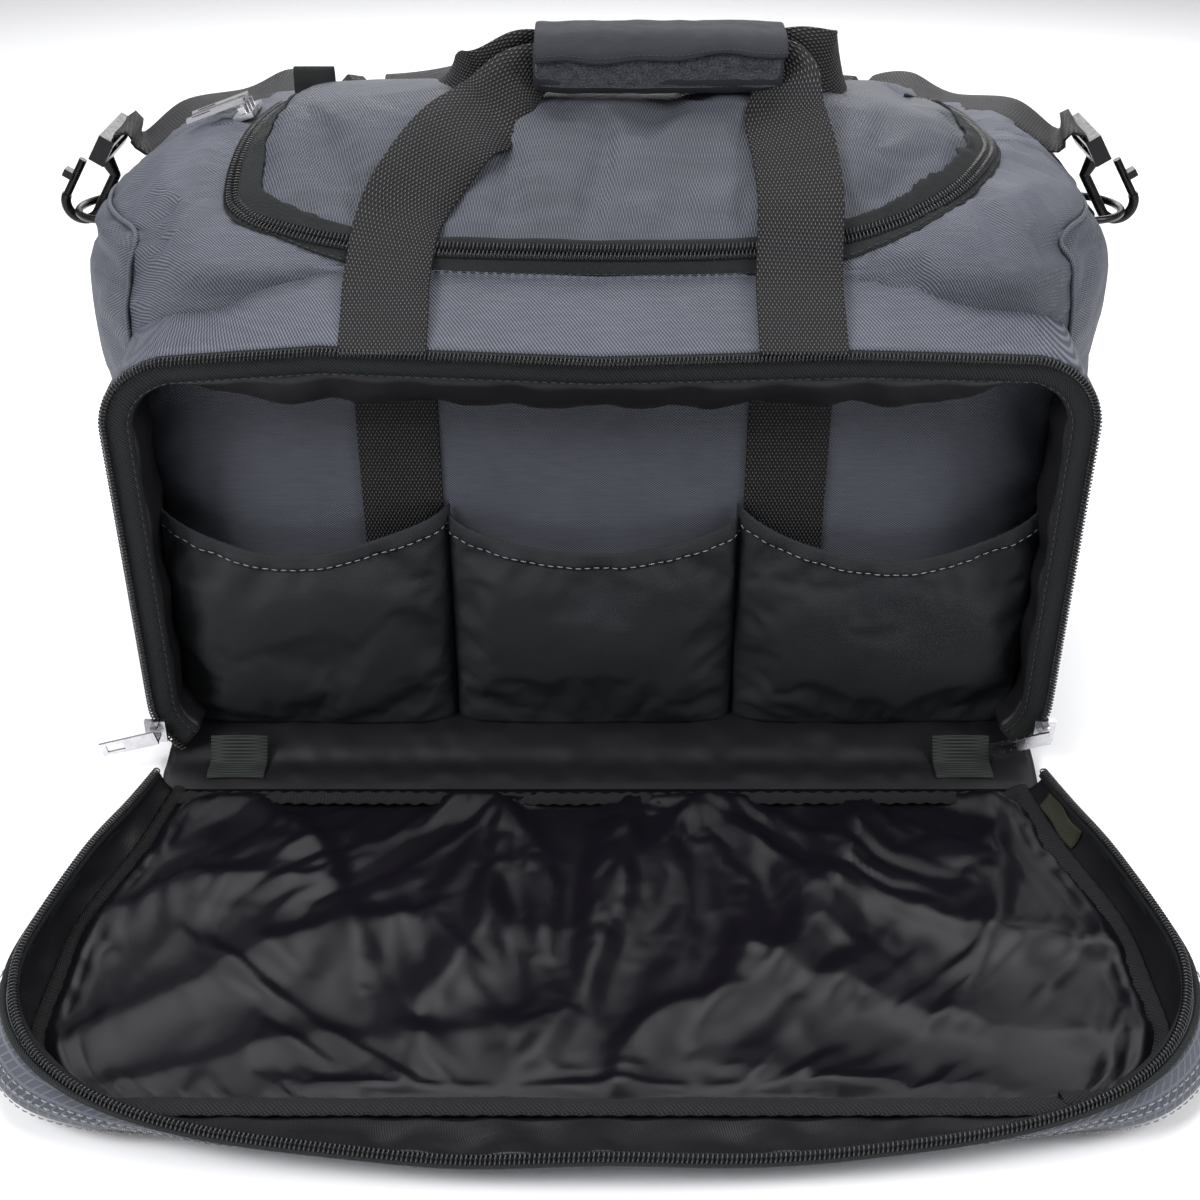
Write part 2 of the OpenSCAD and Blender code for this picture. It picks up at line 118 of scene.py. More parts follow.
def resample(dense, step=None, count=None, measure=3):
    """The same line with evenly spaced points."""
    s = lengths(dense[:, :measure])
    if count is None:
        count = max(2, int(round(s[-1] / step)) + 1)
    at = np.linspace(0, s[-1], count)
    return np.stack([np.interp(at, s, column) for column in dense.T], 1)


def lengths(path):
    """Distance travelled along a path at each of its points."""
    return np.concatenate([[0], np.cumsum(np.linalg.norm(np.diff(path, axis=0), axis=1))])


def tangents(path):
    return unit(np.gradient(path, axis=0))


def smoothstep(low, high, x):
    t = np.clip((x - low) / (high - low), 0, 1)
    return t * t * (3 - 2 * t)


def ramp(x, keys):
    """Straight-line interpolation through (x, value) pairs."""
    xs, ys = zip(*keys)
    return np.interp(x, xs, ys)


def wobble(points, scale, seed=0.0):
    """Smooth noise between about -1 and 1 at each point, with features of that size."""
    offset = Vector((seed * 17.3, seed * 5.1, seed * 9.7))
    return np.array([noise.noise(Vector(p) / scale + offset) for p in points.reshape(-1, 3)])


# ---------------------------------------------------------------- meshes

def mesh_object(name, points, faces, material, weave=None):
    """A smooth mesh object; weave gives each point its place on the cloth, in millimetres."""
    mesh = bpy.data.meshes.new(name)
    mesh.from_pydata((np.asarray(points) * MM).tolist(), [], faces)
    mesh.polygons.foreach_set("use_smooth", [True] * len(mesh.polygons))
    if weave is not None:
        flat = np.zeros((len(points), 3), np.float32)
        flat[:, :2] = np.asarray(weave).reshape(-1, 2)
        mesh.attributes.new("weave", "FLOAT_VECTOR", "POINT").data.foreach_set(
            "vector", flat.ravel())
    mesh.materials.append(material)
    mesh.update()
    obj = bpy.data.objects.new(name, mesh)
    bpy.context.scene.collection.objects.link(obj)
    return obj


def grid_faces(rows, cols, wrap=False):
    """Quads of a grid of points, its columns joined into a ring where wrap is set."""
    faces = []
    for i in range(rows - 1):
        for j in range(cols if wrap else cols - 1):
            k = (j + 1) % cols
            faces.append((i * cols + j, i * cols + k, (i + 1) * cols + k, (i + 1) * cols + j))
    return faces


def grid_weave(points):
    """Arc lengths along the rows and columns of a grid of points."""
    across = np.linalg.norm(np.diff(points, axis=1), axis=2)
    down = np.linalg.norm(np.diff(points, axis=0), axis=2)
    u = np.concatenate([np.zeros((len(points), 1)), np.cumsum(across, axis=1)], 1)
    v = np.concatenate([np.zeros((1, points.shape[1])), np.cumsum(down, axis=0)], 0)
    u = u - u[:, :1] - (u[:, -1:] - u[:, :1]) / 2
    return np.stack([u, v], -1)


def grid_normals(points):
    """Unit normals of a grid of points."""
    return unit(np.cross(np.gradient(points, axis=1), np.gradient(points, axis=0)))


def sheet_object(name, points, material, thick=0.0, weave=None, offset=-1):
    """A grid of cloth, given a thickness where it has one."""
    rows, cols = points.shape[:2]
    weave = grid_weave(points) if weave is None else weave
    obj = mesh_object(name, points.reshape(-1, 3), grid_faces(rows, cols), material,
                      weave.reshape(-1, 2))
    if thick:
        thicken(obj, thick, offset)
    return obj


def thicken(obj, thick, offset=-1):
    solid = obj.modifiers.new("thickness", "SOLIDIFY")
    solid.thickness = thick * MM
    solid.offset = offset
    solid.use_rim = True
    return obj


def join(name, parts, material):
    """One mesh object from (points, faces, weave) parts."""
    points, faces, weave, start = [], [], [], 0
    for p, f, w in parts:
        points.append(p)
        weave.append(w if w is not None else p[:, :2])
        faces.extend([tuple(i + start for i in face) for face in f])
        start += len(p)
    return mesh_object(name, np.vstack(points), faces, material, np.vstack(weave))


def frames(path, facing):
    """Tangent, side and outward normal at each point of a path that faces a direction."""
    t = tangents(path)
    n = unit(facing - np.sum(facing * t, -1, keepdims=True) * t)
    return t, np.cross(t, n), n


def tube_part(path, radius, sides=8, facing=UP, flat=1.0, caps=True):
    """A tube along a path, squeezed by flat across its facing direction."""
    _, side, normal = frames(path, np.broadcast_to(facing, path.shape))
    a = np.arange(sides) / sides * 2 * np.pi
    radius = np.broadcast_to(radius, len(path))[:, None, None]
    ring = (np.cos(a)[None, :, None] * side[:, None] + flat * np.sin(a)[None, :, None]
            * normal[:, None])
    points = path[:, None] + radius * ring
    s = np.broadcast_to(lengths(path)[:, None], (len(path), sides))
    weave = np.stack([np.broadcast_to(a * radius[0, 0, 0], s.shape), s], -1)
    faces = grid_faces(len(path), sides, wrap=True)
    if caps:
        last = (len(path) - 1) * sides
        faces += [tuple(range(sides))[::-1], tuple(range(last, last + sides))]
    return points.reshape(-1, 3), faces, weave.reshape(-1, 2)


def band_part(path, side, width, thick, dish=0.0):
    """Webbing along a path: a flat strap with rounded edges, its width held along side."""
    t = tangents(path)
    side = unit(side - np.sum(side * t, -1, keepdims=True) * t)
    normal = np.cross(side, t)
    across = np.array([-1, -0.97, -0.5, 0, 0.5, 0.97, 1, 0.97, 0.5, 0, -0.5, -0.97])
    up = np.array([0, 1, 1, 1, 1, 1, 0, -1, -1, -1, -1, -1])
    width = np.broadcast_to(width, len(path))[:, None]
    u = across[None] * width / 2
    bend = dish * (across[None] ** 2) * np.ones_like(width)
    points = (path[:, None] + u[..., None] * side[:, None]
              + (up[None] * thick / 2 + bend)[..., None] * normal[:, None])
    s = np.broadcast_to(lengths(path)[:, None], u.shape)
    cols = len(across)
    last = (len(path) - 1) * cols
    faces = grid_faces(len(path), cols, wrap=True)
    faces += [tuple(range(cols))[::-1], tuple(range(last, last + cols))]
    return points.reshape(-1, 3), faces, np.stack([u, s], -1).reshape(-1, 2)


def coil_part(path, facing, pitch=1.75, wide=1.55, high=1.15, wire=0.42, phase=0.0):
    """A zip coil: a wire wound round a path, wider across the tape than it is high."""
    turns = int(lengths(path)[-1] / pitch)
    per_turn = 9
    both = np.hstack([path, np.broadcast_to(facing, path.shape)])
    line = resample(both, count=turns * per_turn + 1)
    centre, out = line[:, :3], line[:, 3:]
    _, side, normal = frames(centre, out)
    a = (np.arange(len(centre)) / per_turn + phase) * 2 * np.pi
    wire_path = (centre + wide * np.cos(a)[:, None] * side + high * np.sin(a)[:, None] * normal)
    return tube_part(wire_path, wire, sides=5, facing=unit(out + 1e-3), caps=True)


def stitches_part(path, facing, length=2.6, space=1.3, radius=0.28, lift=0.2):
    """A row of stitches lying on a path."""
    both = np.hstack([path, np.broadcast_to(facing, path.shape)])
    total = lengths(path)[-1]
    count = max(1, int(total / (length + space)))
    line = resample(both, count=count * 6 + 1)
    parts = []
    for i in range(count):
        run = line[i * 6:i * 6 + 5]
        bow = np.sin(np.linspace(0, np.pi, 5))[:, None]
        p = run[:, :3] + run[:, 3:] * (lift * bow - 0.1)
        parts.append(tube_part(p, radius * (0.45 + 0.55 * bow[:, 0]), sides=5,
                               facing=run[:, 3:], caps=True))
    return merge(parts)


def merge(parts):
    """Several (points, faces, weave) parts as one."""
    points, faces, weave, start = [], [], [], 0
    for p, f, w in parts:
        points.append(p)
        weave.append(w)
        faces.extend([tuple(i + start for i in face) for face in f])
        start += len(p)
    return np.vstack(points), faces, np.vstack(weave)


def cut_from(grid):
    """Measures the mean lengths of a grid of points across and along, and keeps nothing."""
    across = np.mean([lengths(line)[-1] for line in grid])
    along = np.mean([lengths(line)[-1] for line in np.moveaxis(grid, 1, 0)])


def place(obj, body, slot, *nodes):
    """Puts a piece on a body and hides the CAD nodes it stands for; its slot is not used."""
    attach(obj, body)
    if nodes:
        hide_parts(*nodes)
    return obj


# ---------------------------------------------------------------- materials

def linear(rgb):
    """An sRGB colour out of 255 as the linear colour that a shader wants."""
    c = np.array(rgb, float) / 255
    c = np.where(c <= 0.04045, c / 12.92, ((c + 0.055) / 1.055) ** 2.4)
    return (*c.tolist(), 1.0)


class Net:
    """A principled material with a few short ways to add nodes to it."""

    def __init__(self, name, rough, metallic=0.0, specular=0.5, sheen=0.0, coat=0.0):
        self.material = bpy.data.materials.new(name)
        self.material.use_nodes = True
        self.nodes = self.material.node_tree.nodes
        self.links = self.material.node_tree.links
        self.bsdf = self.nodes["Principled BSDF"]
        for socket, value in (("Roughness", rough), ("Metallic", metallic),
                              ("Specular IOR Level", specular), ("Sheen Weight", sheen),
                              ("Coat Weight", coat)):
            self.bsdf.inputs[socket].default_value = value

    def node(self, kind, **values):
        node = self.nodes.new(kind)
        for key, value in values.items():
            setattr(node, key, value)
        return node

    def feed(self, socket, value):
        if isinstance(value, bpy.types.NodeSocket):
            self.links.new(value, socket)
        else:
            socket.default_value = value

    def math(self, operation, a, b=0.0):
        node = self.node("ShaderNodeMath", operation=operation)
        self.feed(node.inputs[0], a)
        self.feed(node.inputs[1], b)
        return node.outputs[0]

    def range(self, value, low, high, to_low=0.0, to_high=1.0):
        node = self.node("ShaderNodeMapRange", interpolation_type="SMOOTHSTEP")
        for socket, v in zip(node.inputs, (value, low, high, to_low, to_high)):
            self.feed(socket, v)
        return node.outputs[0]

    def mix(self, factor, a, b, blend="MIX"):
        node = self.node("ShaderNodeMix", data_type="RGBA", blend_type=blend)
        self.feed(node.inputs[0], factor)
        self.feed(node.inputs[6], a)
        self.feed(node.inputs[7], b)
        return node.outputs[2]

    def cloth_place(self):
        """Position on the cloth in millimetres, as a vector and as its two parts."""
        place = self.node("ShaderNodeAttribute", attribute_name="weave").outputs["Vector"]
        parts = self.node("ShaderNodeSeparateXYZ")
        self.feed(parts.inputs[0], place)
        return place, parts.outputs[0], parts.outputs[1]

    def noise(self, place, size, detail=2.0, stretch=(1, 1, 1)):
        """Noise with features of a size in millimetres, longer where stretch is larger."""
        scaled = self.node("ShaderNodeMapping")
        self.feed(scaled.inputs["Vector"], place)
        scaled.inputs["Scale"].default_value = [1 / (size * s) for s in stretch]
        node = self.node("ShaderNodeTexNoise")
        self.feed(node.inputs["Vector"], scaled.outputs[0])
        node.inputs["Scale"].default_value = 1.0
        node.inputs["Detail"].default_value = detail
        return node.outputs["Fac"]

    def bump(self, height, depth, strength=1.0, over=None):
        node = self.node("ShaderNodeBump")
        node.inputs["Distance"].default_value = depth * MM
        node.inputs["Strength"].default_value = strength
        self.feed(node.inputs["Height"], height)
        if over is not None:
            self.feed(node.inputs["Normal"], over)
        return node.outputs[0]

    def finish(self, colour, normal=None, rough=None):
        self.feed(self.bsdf.inputs["Base Color"], colour)
        if normal is not None:
            self.feed(self.bsdf.inputs["Normal"], normal)
        if rough is not None:
            self.feed(self.bsdf.inputs["Roughness"], rough)
        return self.material


def weave_pattern(net, u, v, pitch, lean):
    """A woven lattice from -1 to 1: even dots at lean 0.5, slanting lines towards 0 or 1."""
    a = net.math("MULTIPLY", u, 2 * math.pi / pitch[0])
    b = net.math("MULTIPLY", v, 2 * math.pi / pitch[1])
    rising = net.math("COSINE", net.math("ADD", a, b))
    falling = net.math("COSINE", net.math("SUBTRACT", a, b))
    return net.math("ADD", net.math("MULTIPLY", rising, lean),
                    net.math("MULTIPLY", falling, 1 - lean))


def cloth(name, dark, light, pitch, lean=0.5, edges=(-0.6, 0.9), rough=0.8, sheen=0.15,
          depth=0.25, mottle=0.12, streak=0.1, specular=0.35, creases=0.0):
    """Woven cloth: threads in two colours, uneven yarn, soft stains of shade and bump."""
    net = Net(name, rough, sheen=sheen, specular=specular)
    net.bsdf.inputs["Sheen Roughness"].default_value = 0.45
    place, u, v = net.cloth_place()
    threads = weave_pattern(net, u, v, pitch, lean)
    shown = net.range(threads, *edges)
    yarn = net.noise(place, 1.1 * pitch[1], 1.0, stretch=(9, 1, 1))
    broad = net.noise(place, 46.0, 4.0)
    shade = net.math("ADD", net.range(yarn, 0.25, 0.75, 1 - streak, 1 + streak),
                     net.range(broad, 0.3, 0.7, -mottle, mottle))
    colour = net.mix(shown, linear(dark), linear(light))
    grey = net.node("ShaderNodeCombineColor")
    for socket in grey.inputs[:3]:
        net.feed(socket, shade)
    colour = net.mix(1.0, colour, grey.outputs[0], "MULTIPLY")
    normal = net.bump(threads, depth, 0.7)
    if creases:
        crumple = net.noise(place, 17.0, 3.0, stretch=(1.0, 1.7, 1))
        normal = net.bump(crumple, creases, 0.8, over=normal)
    net.bsdf.inputs["Sheen Tint"].default_value = linear(light)
    return net.finish(colour, normal)


def shiny(name, colour, rough, metallic=0.0, scratch=0.15):
    """Moulded plastic or plated metal with slightly uneven gloss."""
    net = Net(name, rough, metallic=metallic)
    place = net.node("ShaderNodeTexCoord").outputs["Object"]
    wear = net.noise(place, 2.2 * MM, 4.0)
    fine = net.noise(place, 0.5 * MM, 2.0)
    dull = net.range(wear, 0.3, 0.75, rough * (1 - scratch), rough * (1 + 2 * scratch))
    tone = net.mix(net.range(wear, 0.3, 0.8, 0.0, 0.35), linear(colour),
                   linear([min(255, c * 1.35 + 6) for c in colour]))
    return net.finish(tone, net.bump(fine, 0.03, 0.5), dull)


def ripstop(name, dark, light):
    """Plain cloth crossed by a raised grid of heavier threads."""
    net = Net(name, 0.7, sheen=0.15, specular=0.35)
    place, u, v = net.cloth_place()
    threads = weave_pattern(net, u, v, (1.3, 1.1), 0.5)
    grid = 0.0
    for axis in (u, v):
        line = net.math("COSINE", net.math("MULTIPLY", axis, 2 * math.pi / 4.6))
        grid = net.math("MAXIMUM", net.range(line, 0.55, 0.95), grid)
    height = net.math("ADD", grid, net.math("MULTIPLY", threads, 0.3))
    shade = net.range(net.noise(place, 30.0, 3.0), 0.3, 0.7, 0.0, 0.35)
    colour = net.mix(net.math("MULTIPLY", grid, 0.55), linear(dark), linear(light))
    colour = net.mix(shade, colour, linear(dark))
    return net.finish(colour, net.bump(height, 0.35, 0.8))


def fuzz(name, dark, light):
    """Brushed loop pile."""
    net = Net(name, 0.95, sheen=0.5, specular=0.1)
    place, _, _ = net.cloth_place()
    loops = net.noise(place, 0.9, 5.0)
    clumps = net.noise(place, 4.0, 3.0)
    both = net.math("ADD", net.math("MULTIPLY", loops, 0.7), net.math("MULTIPLY", clumps, 0.3))
    colour = net.mix(net.range(both, 0.35, 0.68), linear(dark), linear(light))
    return net.finish(colour, net.bump(both, 0.9, 1.0))


GREY = cloth("grey_polyester", (50, 52, 60), (98, 101, 112), (1.55, 1.35), lean=0.7,
             rough=0.62, sheen=0.12, depth=0.22, mottle=0.06, streak=0.08, creases=0.5)
LID_GREY = cloth("lid_polyester", (46, 48, 55), (84, 87, 97), (1.3, 3.4), lean=0.55,
                 rough=0.62, sheen=0.12, depth=0.2, mottle=0.06, streak=0.08, creases=0.4)
RIPSTOP = ripstop("ripstop", (66, 69, 78), (112, 116, 127))
SATIN = cloth("satin_lining", (8, 7, 11), (18, 16, 23), (0.9, 0.9), lean=0.5, rough=0.27,
              sheen=0.0, depth=0.05, mottle=0.1, streak=0.05, specular=0.24, creases=0.1)
LINING = cloth("black_lining", (11, 10, 13), (24, 22, 27), (1.0, 1.0), lean=0.5, rough=0.45,
               sheen=0.05, depth=0.08, mottle=0.12, streak=0.08, specular=0.5, creases=0.9)
POCKET = cloth("pocket_fabric", (18, 21, 24), (36, 40, 44), (1.2, 1.2), lean=0.7, rough=0.7,
               sheen=0.06, depth=0.12, mottle=0.1, streak=0.08, creases=0.5)
# Black webbing: its light dots on the crests of the weave are painted highlights, not a thread colour.
WEBBING_PAINTED_HIGHLIGHTS = cloth("webbing", (4, 4, 5), (112, 112, 118), (1.75, 3.3), lean=0.5,
                edges=(0.42, 1.25), rough=0.7, sheen=0.05, depth=0.5, mottle=0.05, streak=0.1)
TAPE = cloth("zip_tape", (13, 15, 16), (36, 40, 41), (0.9, 1.5), lean=0.85, rough=0.85,
             sheen=0.1, depth=0.25)
GROSGRAIN = cloth("grosgrain", (20, 23, 22), (48, 53, 51), (40.0, 1.7), lean=0.5,
                  rough=0.75, sheen=0.1, depth=0.4)
KNIT = cloth("knit_binding", (7, 7, 8), (30, 30, 34), (1.9, 1.5), lean=0.5, rough=0.85,
             sheen=0.1, depth=0.6, mottle=0.15, streak=0.2, creases=1.0)
MESH_TAPE = cloth("mesh_tape", (7, 7, 9), (50, 50, 57), (1.8, 1.8), lean=0.5,
                  edges=(0.0, 1.0), rough=0.75, sheen=0.1, depth=0.6)
GRIP_CLOTH = cloth("grip_cloth", (22, 24, 29), (44, 47, 55), (1.1, 1.1), lean=0.5, rough=0.8,
                   sheen=0.2, depth=0.2, creases=0.8)
OLIVE = cloth("olive_patch", (38, 40, 30), (62, 64, 50), (1.2, 1.2), rough=0.8)
PILE = fuzz("loop_pile", (8, 9, 12), (62, 65, 76))
THREAD = cloth("sewing_thread", (120, 122, 126), (165, 167, 171), (0.6, 0.9), rough=0.6)
DARK_THREAD = cloth("dark_thread", (34, 35, 39), (70, 71, 76), (0.6, 0.9), rough=0.6)
COIL = shiny("zip_coil", (24, 24, 27), 0.32)
NYLON = shiny("moulded_nylon", (26, 26, 29), 0.36)
BLACK_METAL = shiny("black_metal", (20, 20, 22), 0.28, metallic=0.6)
SILVER = shiny("nickel", (200, 200, 204), 0.22, metallic=1.0)
BOARD = cloth("board_cover", (28, 28, 31), (48, 48, 52), (1.6, 1.6), rough=0.8)


# ---------------------------------------------------------------- cloth simulation

def relax(obj, pinned, slack=0.03, pressure=0.0, frames=18, cap=5.0, stiff=1.0,
          gravity=0.0):
    """Lets a cloth mesh settle: pinned is each point's hold, slack how much cloth is spare,
    and cap the furthest that a point may move in millimetres."""
    group = obj.vertex_groups.new(name="pins")
    for weight in np.unique(np.round(pinned, 2)):
        if weight > 0:
            index = np.nonzero(np.round(pinned, 2) == weight)[0].tolist()
            group.add(index, float(weight), "REPLACE")
    start = np.zeros(len(obj.data.vertices) * 3, np.float32)
    obj.data.vertices.foreach_get("co", start)
    cloth_modifier = obj.modifiers.new("cloth", "CLOTH")
    settings = cloth_modifier.settings
    settings.quality = 6
    settings.mass = 0.2
    settings.vertex_group_mass = "pins"
    settings.pin_stiffness = 5
    settings.tension_stiffness = 18
    settings.compression_stiffness = 12
    settings.shear_stiffness = 6
    settings.bending_stiffness = stiff
    settings.shrink_min = -slack
    settings.shrink_max = -slack
    settings.air_damping = 4
    settings.effector_weights.gravity = gravity
    if pressure:
        settings.use_pressure = True
        settings.uniform_pressure_force = pressure
    cloth_modifier.collision_settings.use_collision = False
    scene = bpy.context.scene
    for frame_number in range(1, frames + 1):
        scene.frame_set(frame_number)
    evaluated = obj.evaluated_get(bpy.context.evaluated_depsgraph_get())
    end = np.zeros_like(start)
    evaluated.data.vertices.foreach_get("co", end)
    obj.modifiers.clear()
    scene.frame_set(1)
    move = (end - start).reshape(-1, 3)
    far = np.linalg.norm(move, axis=1, keepdims=True)
    move *= np.minimum(1, cap * MM / np.maximum(far, 1e-9))
    obj.data.vertices.foreach_set("co", (start.reshape(-1, 3) + move).ravel())
    obj.data.update()
    return obj


def mesh_points(obj):
    """An object's points in millimetres."""
    co = np.zeros(len(obj.data.vertices) * 3, np.float32)
    obj.data.vertices.foreach_get("co", co)
    return co.reshape(-1, 3).astype(float) / MM


# ---------------------------------------------------------------- body shell

HALF_W, HALF_D = BODY_W / 2, BODY_D / 2
# The lid's hinge lies between these two places in y; only FOLD_Y is used, to cut the lid's cloth from
# the body.
FOLD_Y, FOLD_END = 34.0, 6.0
# Sections of the body from the ground up: height, half width, half depth, middle in y,
# corner radius.
SECTIONS = [
    (0.4, HALF_W - 12, HALF_D - 12, 0, 50),
    (2.5, HALF_W - 5, HALF_D - 3, 0, 70),
    (12, HALF_W - 3, HALF_D, 0, 80),
    (60, HALF_W - 3, HALF_D + 1, 0, 86),
    (140, HALF_W - 2, HALF_D + 1, 0, 86),
    (200, HALF_W - 2, HALF_D, 0, 88),
    (WALL_H, HALF_W - 4, HALF_D - 1, 0, 92),
    (WALL_H + 0.33 * RISE, HALF_W - 14, HALF_D - 9, 0, 85),
    (WALL_H + 0.53 * RISE, HALF_W - 40, HALF_D - 34, -3, 70),
    (WALL_H + 0.82 * RISE, HALF_W - 100, HALF_D - 81.5, -31, 40),
    (WALL_H + 0.97 * RISE, HALF_W - 180, HALF_D - 111, -45, 13),
    (CROWN_H - 0.6, HALF_W - 215, HALF_D - 121, -46, 3.5),
]
BACK_COUNT, CORNER_COUNT, SIDE_COUNT = 42, 16, 26


def ring_points(z, half_w, half_d, middle, r):
    """Points round one section, from the middle of the back by the left end to the front."""
    r = min(r, half_w - 0.5, half_d - 0.5)
    x, y = half_w - r, half_d - r

    def run(a, b, count):
        t = np.arange(count)[:, None] / count
        return np.array(a) * (1 - t) + np.array(b) * t

    def arc(cx, cy, start, count):
        a = np.radians(start) + np.arange(count) / count * np.pi / 2
        return np.stack([cx + r * np.cos(a), cy + r * np.sin(a)], 1)

    flat = np.vstack([
        run((0, half_d), (-x, half_d), BACK_COUNT),
        arc(-x, y, 90, CORNER_COUNT),
        run((-half_w, y), (-half_w, -y), SIDE_COUNT),
        arc(-x, -y, 180, CORNER_COUNT),
        run((-x, -half_d), (x, -half_d), 2 * BACK_COUNT),
        arc(x, -y, 270, CORNER_COUNT),
        run((half_w, -y), (half_w, y), SIDE_COUNT),
        arc(x, y, 0, CORNER_COUNT),
        run((x, half_d), (0, half_d), BACK_COUNT)])
    return np.column_stack([flat[:, 0], flat[:, 1] + middle, np.full(len(flat), z)])


sections = curve([(s[0], s[1], s[2], s[3], s[4]) for s in SECTIONS], step=5.2)
shell = np.stack([ring_points(*s) for s in sections])
ROWS, COLS = shell.shape[:2]


def zip_outline(spread=0.0):
    """The lid zip's line seen from above, from its left end round the front to its right
    end, moved outwards by spread."""
    left, right = LID_LOW[0], LID_HIGH[0]
    front = LID_FRONT
    keys = [(left + 9, LID_BACK - 26), (left + 2, LID_BACK - 60), (left - 3, front + 34),
            (left + 3, front + 17), (left + 22, front + 7), (left + 64, front + 1),
            (LID_X, front - 1), (right - 92, front + 1), (right - 48, front + 10),
            (right - 17, front + 31), (right + 1, front + 62), (right + 4, front + 88),
            (right - 4, LID_BACK - 14), (right - 22, LID_BACK - 4)]
    line = curve(keys, step=2.0, measure=2)
    t = tangents(line)
    return line + spread * np.column_stack([t[:, 1], -t[:, 0]])


def inside(points, polygon):
    """Which points seen from above lie inside a closed outline."""
    x, y = points[:, 0][:, None], points[:, 1][:, None]
    x0, y0 = polygon[:, 0][None], polygon[:, 1][None]
    x1, y1 = np.roll(x0, -1), np.roll(y0, -1)
    crosses = ((y0 > y) != (y1 > y)) & (x < (x1 - x0) * (y - y0) / (y1 - y0 + 1e-9) + x0)
    return crosses.sum(1) % 2 == 1


def distance_to(points, line):
    """Distance of each point from a line of closely spaced points."""
    best = np.full(len(points), np.inf)
    for part in np.array_split(line, max(1, len(line) // 60)):
        d = np.linalg.norm(points[:, None] - part[None], axis=2).min(1)
        best = np.minimum(best, d)
    return best


def crease(points, normals, line, width, height):
    """Raises a ridge, or sinks a furrow, along a short line on the surface."""
    dense = curve(line, step=4.0)
    d = distance_to(points, dense)
    shape = np.exp(-(d / width) ** 2)
    return points + normals * (height * shape)[:, None]


zip_line = zip_outline()
shell_flat = shell.reshape(-1, 3)
normals = unit(np.cross(np.roll(shell, -1, 1) - np.roll(shell, 1, 1),
                        np.gradient(shell, axis=0))).reshape(-1, 3)
on_top = shell_flat[:, 2] > WALL_H + 4
zip_distance = np.full(len(shell_flat), 99.0)
zip_distance[on_top] = distance_to(shell_flat[on_top][:, :2], zip_line)
shell_flat = shell_flat + normals * (
    1.5 * wobble(shell_flat, 70.0, 1) + 0.7 * wobble(shell_flat, 28.0, 2))[:, None] * (
    smoothstep(20, 70, shell_flat[:, 2]) * smoothstep(2, 16, zip_distance))[:, None]
shell_flat = shell_flat + normals * (1.4 * np.exp(-((zip_distance - 22) / 12) ** 2)
                                     - 1.6 * np.exp(-(zip_distance / 7) ** 2))[:, None]
LEFT, RIGHT = -HALF_W, HALF_W
CREASES = [
    # line, width, height
    ([(LEFT + 62, -96, 256), (LEFT + 44, -60, 258), (LEFT + 50, -18, 262)], 6, 3.0),
    ([(LEFT + 46, -100, 248), (LEFT + 28, -62, 248), (LEFT + 34, -16, 252)], 6, -3.4),
    ([(LEFT + 30, -100, 240), (LEFT + 15, -60, 240), (LEFT + 18, -10, 245)], 7, 3.4),
    ([(LEFT + 22, -98, 228), (LEFT + 6, -58, 230), (LEFT + 8, -6, 233)], 6, -3.0),
    ([(LEFT + 40, -118, 236), (LEFT + 90, -121, 238), (LEFT + 128, -122, 239)], 6, 2.2),
    ([(LEFT + 54, -119, 226), (LEFT + 100, -125, 230), (LEFT + 140, -124, 232)], 6, -2.2),
    ([(RIGHT - 60, -98, 254), (RIGHT - 36, -70, 250), (RIGHT - 28, -30, 252)], 6, 2.4),
    ([(RIGHT - 44, -106, 244), (RIGHT - 18, -72, 240), (RIGHT - 12, -26, 242)], 6, -2.6),
    ([(RIGHT - 96, -121, 238), (RIGHT - 56, -116, 236), (RIGHT - 26, -96, 232)], 7, 2.2),
    ([(LEFT + 150, -123, 236), (0, -124, 242), (RIGHT - 150, -123, 236)], 8, 1.4),
    ([(LID_X - 120, -70, 278), (LID_X - 70, -88, 272), (LID_X - 20, -96, 268)], 9, 1.6),
    ([(LID_X - 10, -104, 262), (LID_X + 60, -84, 274), (LID_X + 120, -50, 278)], 10, -1.6),
    ([(LEFT - 1, -40, 60), (LEFT - 3, -10, 110), (LEFT - 1, 30, 170)], 12, 3.0),
    ([(LEFT - 1, -50, 150), (LEFT - 3, 0, 120), (LEFT - 1, 60, 60)], 12, -3.0),
    ([(RIGHT + 1, -50, 70), (RIGHT + 3, 0, 120), (RIGHT + 1, 50, 150)], 12, 3.0),
    ([(RIGHT + 1, -40, 180), (RIGHT + 3, 10, 140), (RIGHT + 1, 60, 90)], 12, -3.0),
    ([(-160, HALF_D, 60), (-60, HALF_D, 120), (40, HALF_D, 150)], 14, 3.0),
    ([(150, HALF_D, 50), (60, HALF_D, 100), (-60, HALF_D, 190)], 13, -2.5),
    ([(LEFT + 100, 60, 262), (0, 70, 268), (RIGHT - 100, 60, 262)], 12, -2.5),
]
for line, width, height in CREASES:
    shell_flat = crease(shell_flat, normals, line, width, height)

# End seams run up the middle of each corner and over the shoulder of each end.
corner_cols = np.array([
    BACK_COUNT + CORNER_COUNT // 2,
    BACK_COUNT + CORNER_COUNT + SIDE_COUNT + CORNER_COUNT // 2,
    3 * BACK_COUNT + 2 * CORNER_COUNT + SIDE_COUNT + CORNER_COUNT // 2,
    3 * BACK_COUNT + 3 * CORNER_COUNT + 2 * SIDE_COUNT + CORNER_COUNT // 2])
shell = shell_flat.reshape(ROWS, COLS, 3)
row_height = sections[:, 0]
SEAM_ROW = int(np.searchsorted(row_height, WALL_H + 21))
FOOT_ROW = int(np.searchsorted(row_height, 3.0))


def seam_line(first, last):
    """Grid places along an end panel's seam: up one corner, over the end, down the other."""
    up = [(i, first) for i in range(FOOT_ROW, SEAM_ROW)]
    over = [(SEAM_ROW, j) for j in range(first, last + 1)]
    down = [(i, last) for i in range(SEAM_ROW - 1, FOOT_ROW - 1, -1)]
    return up + over + down


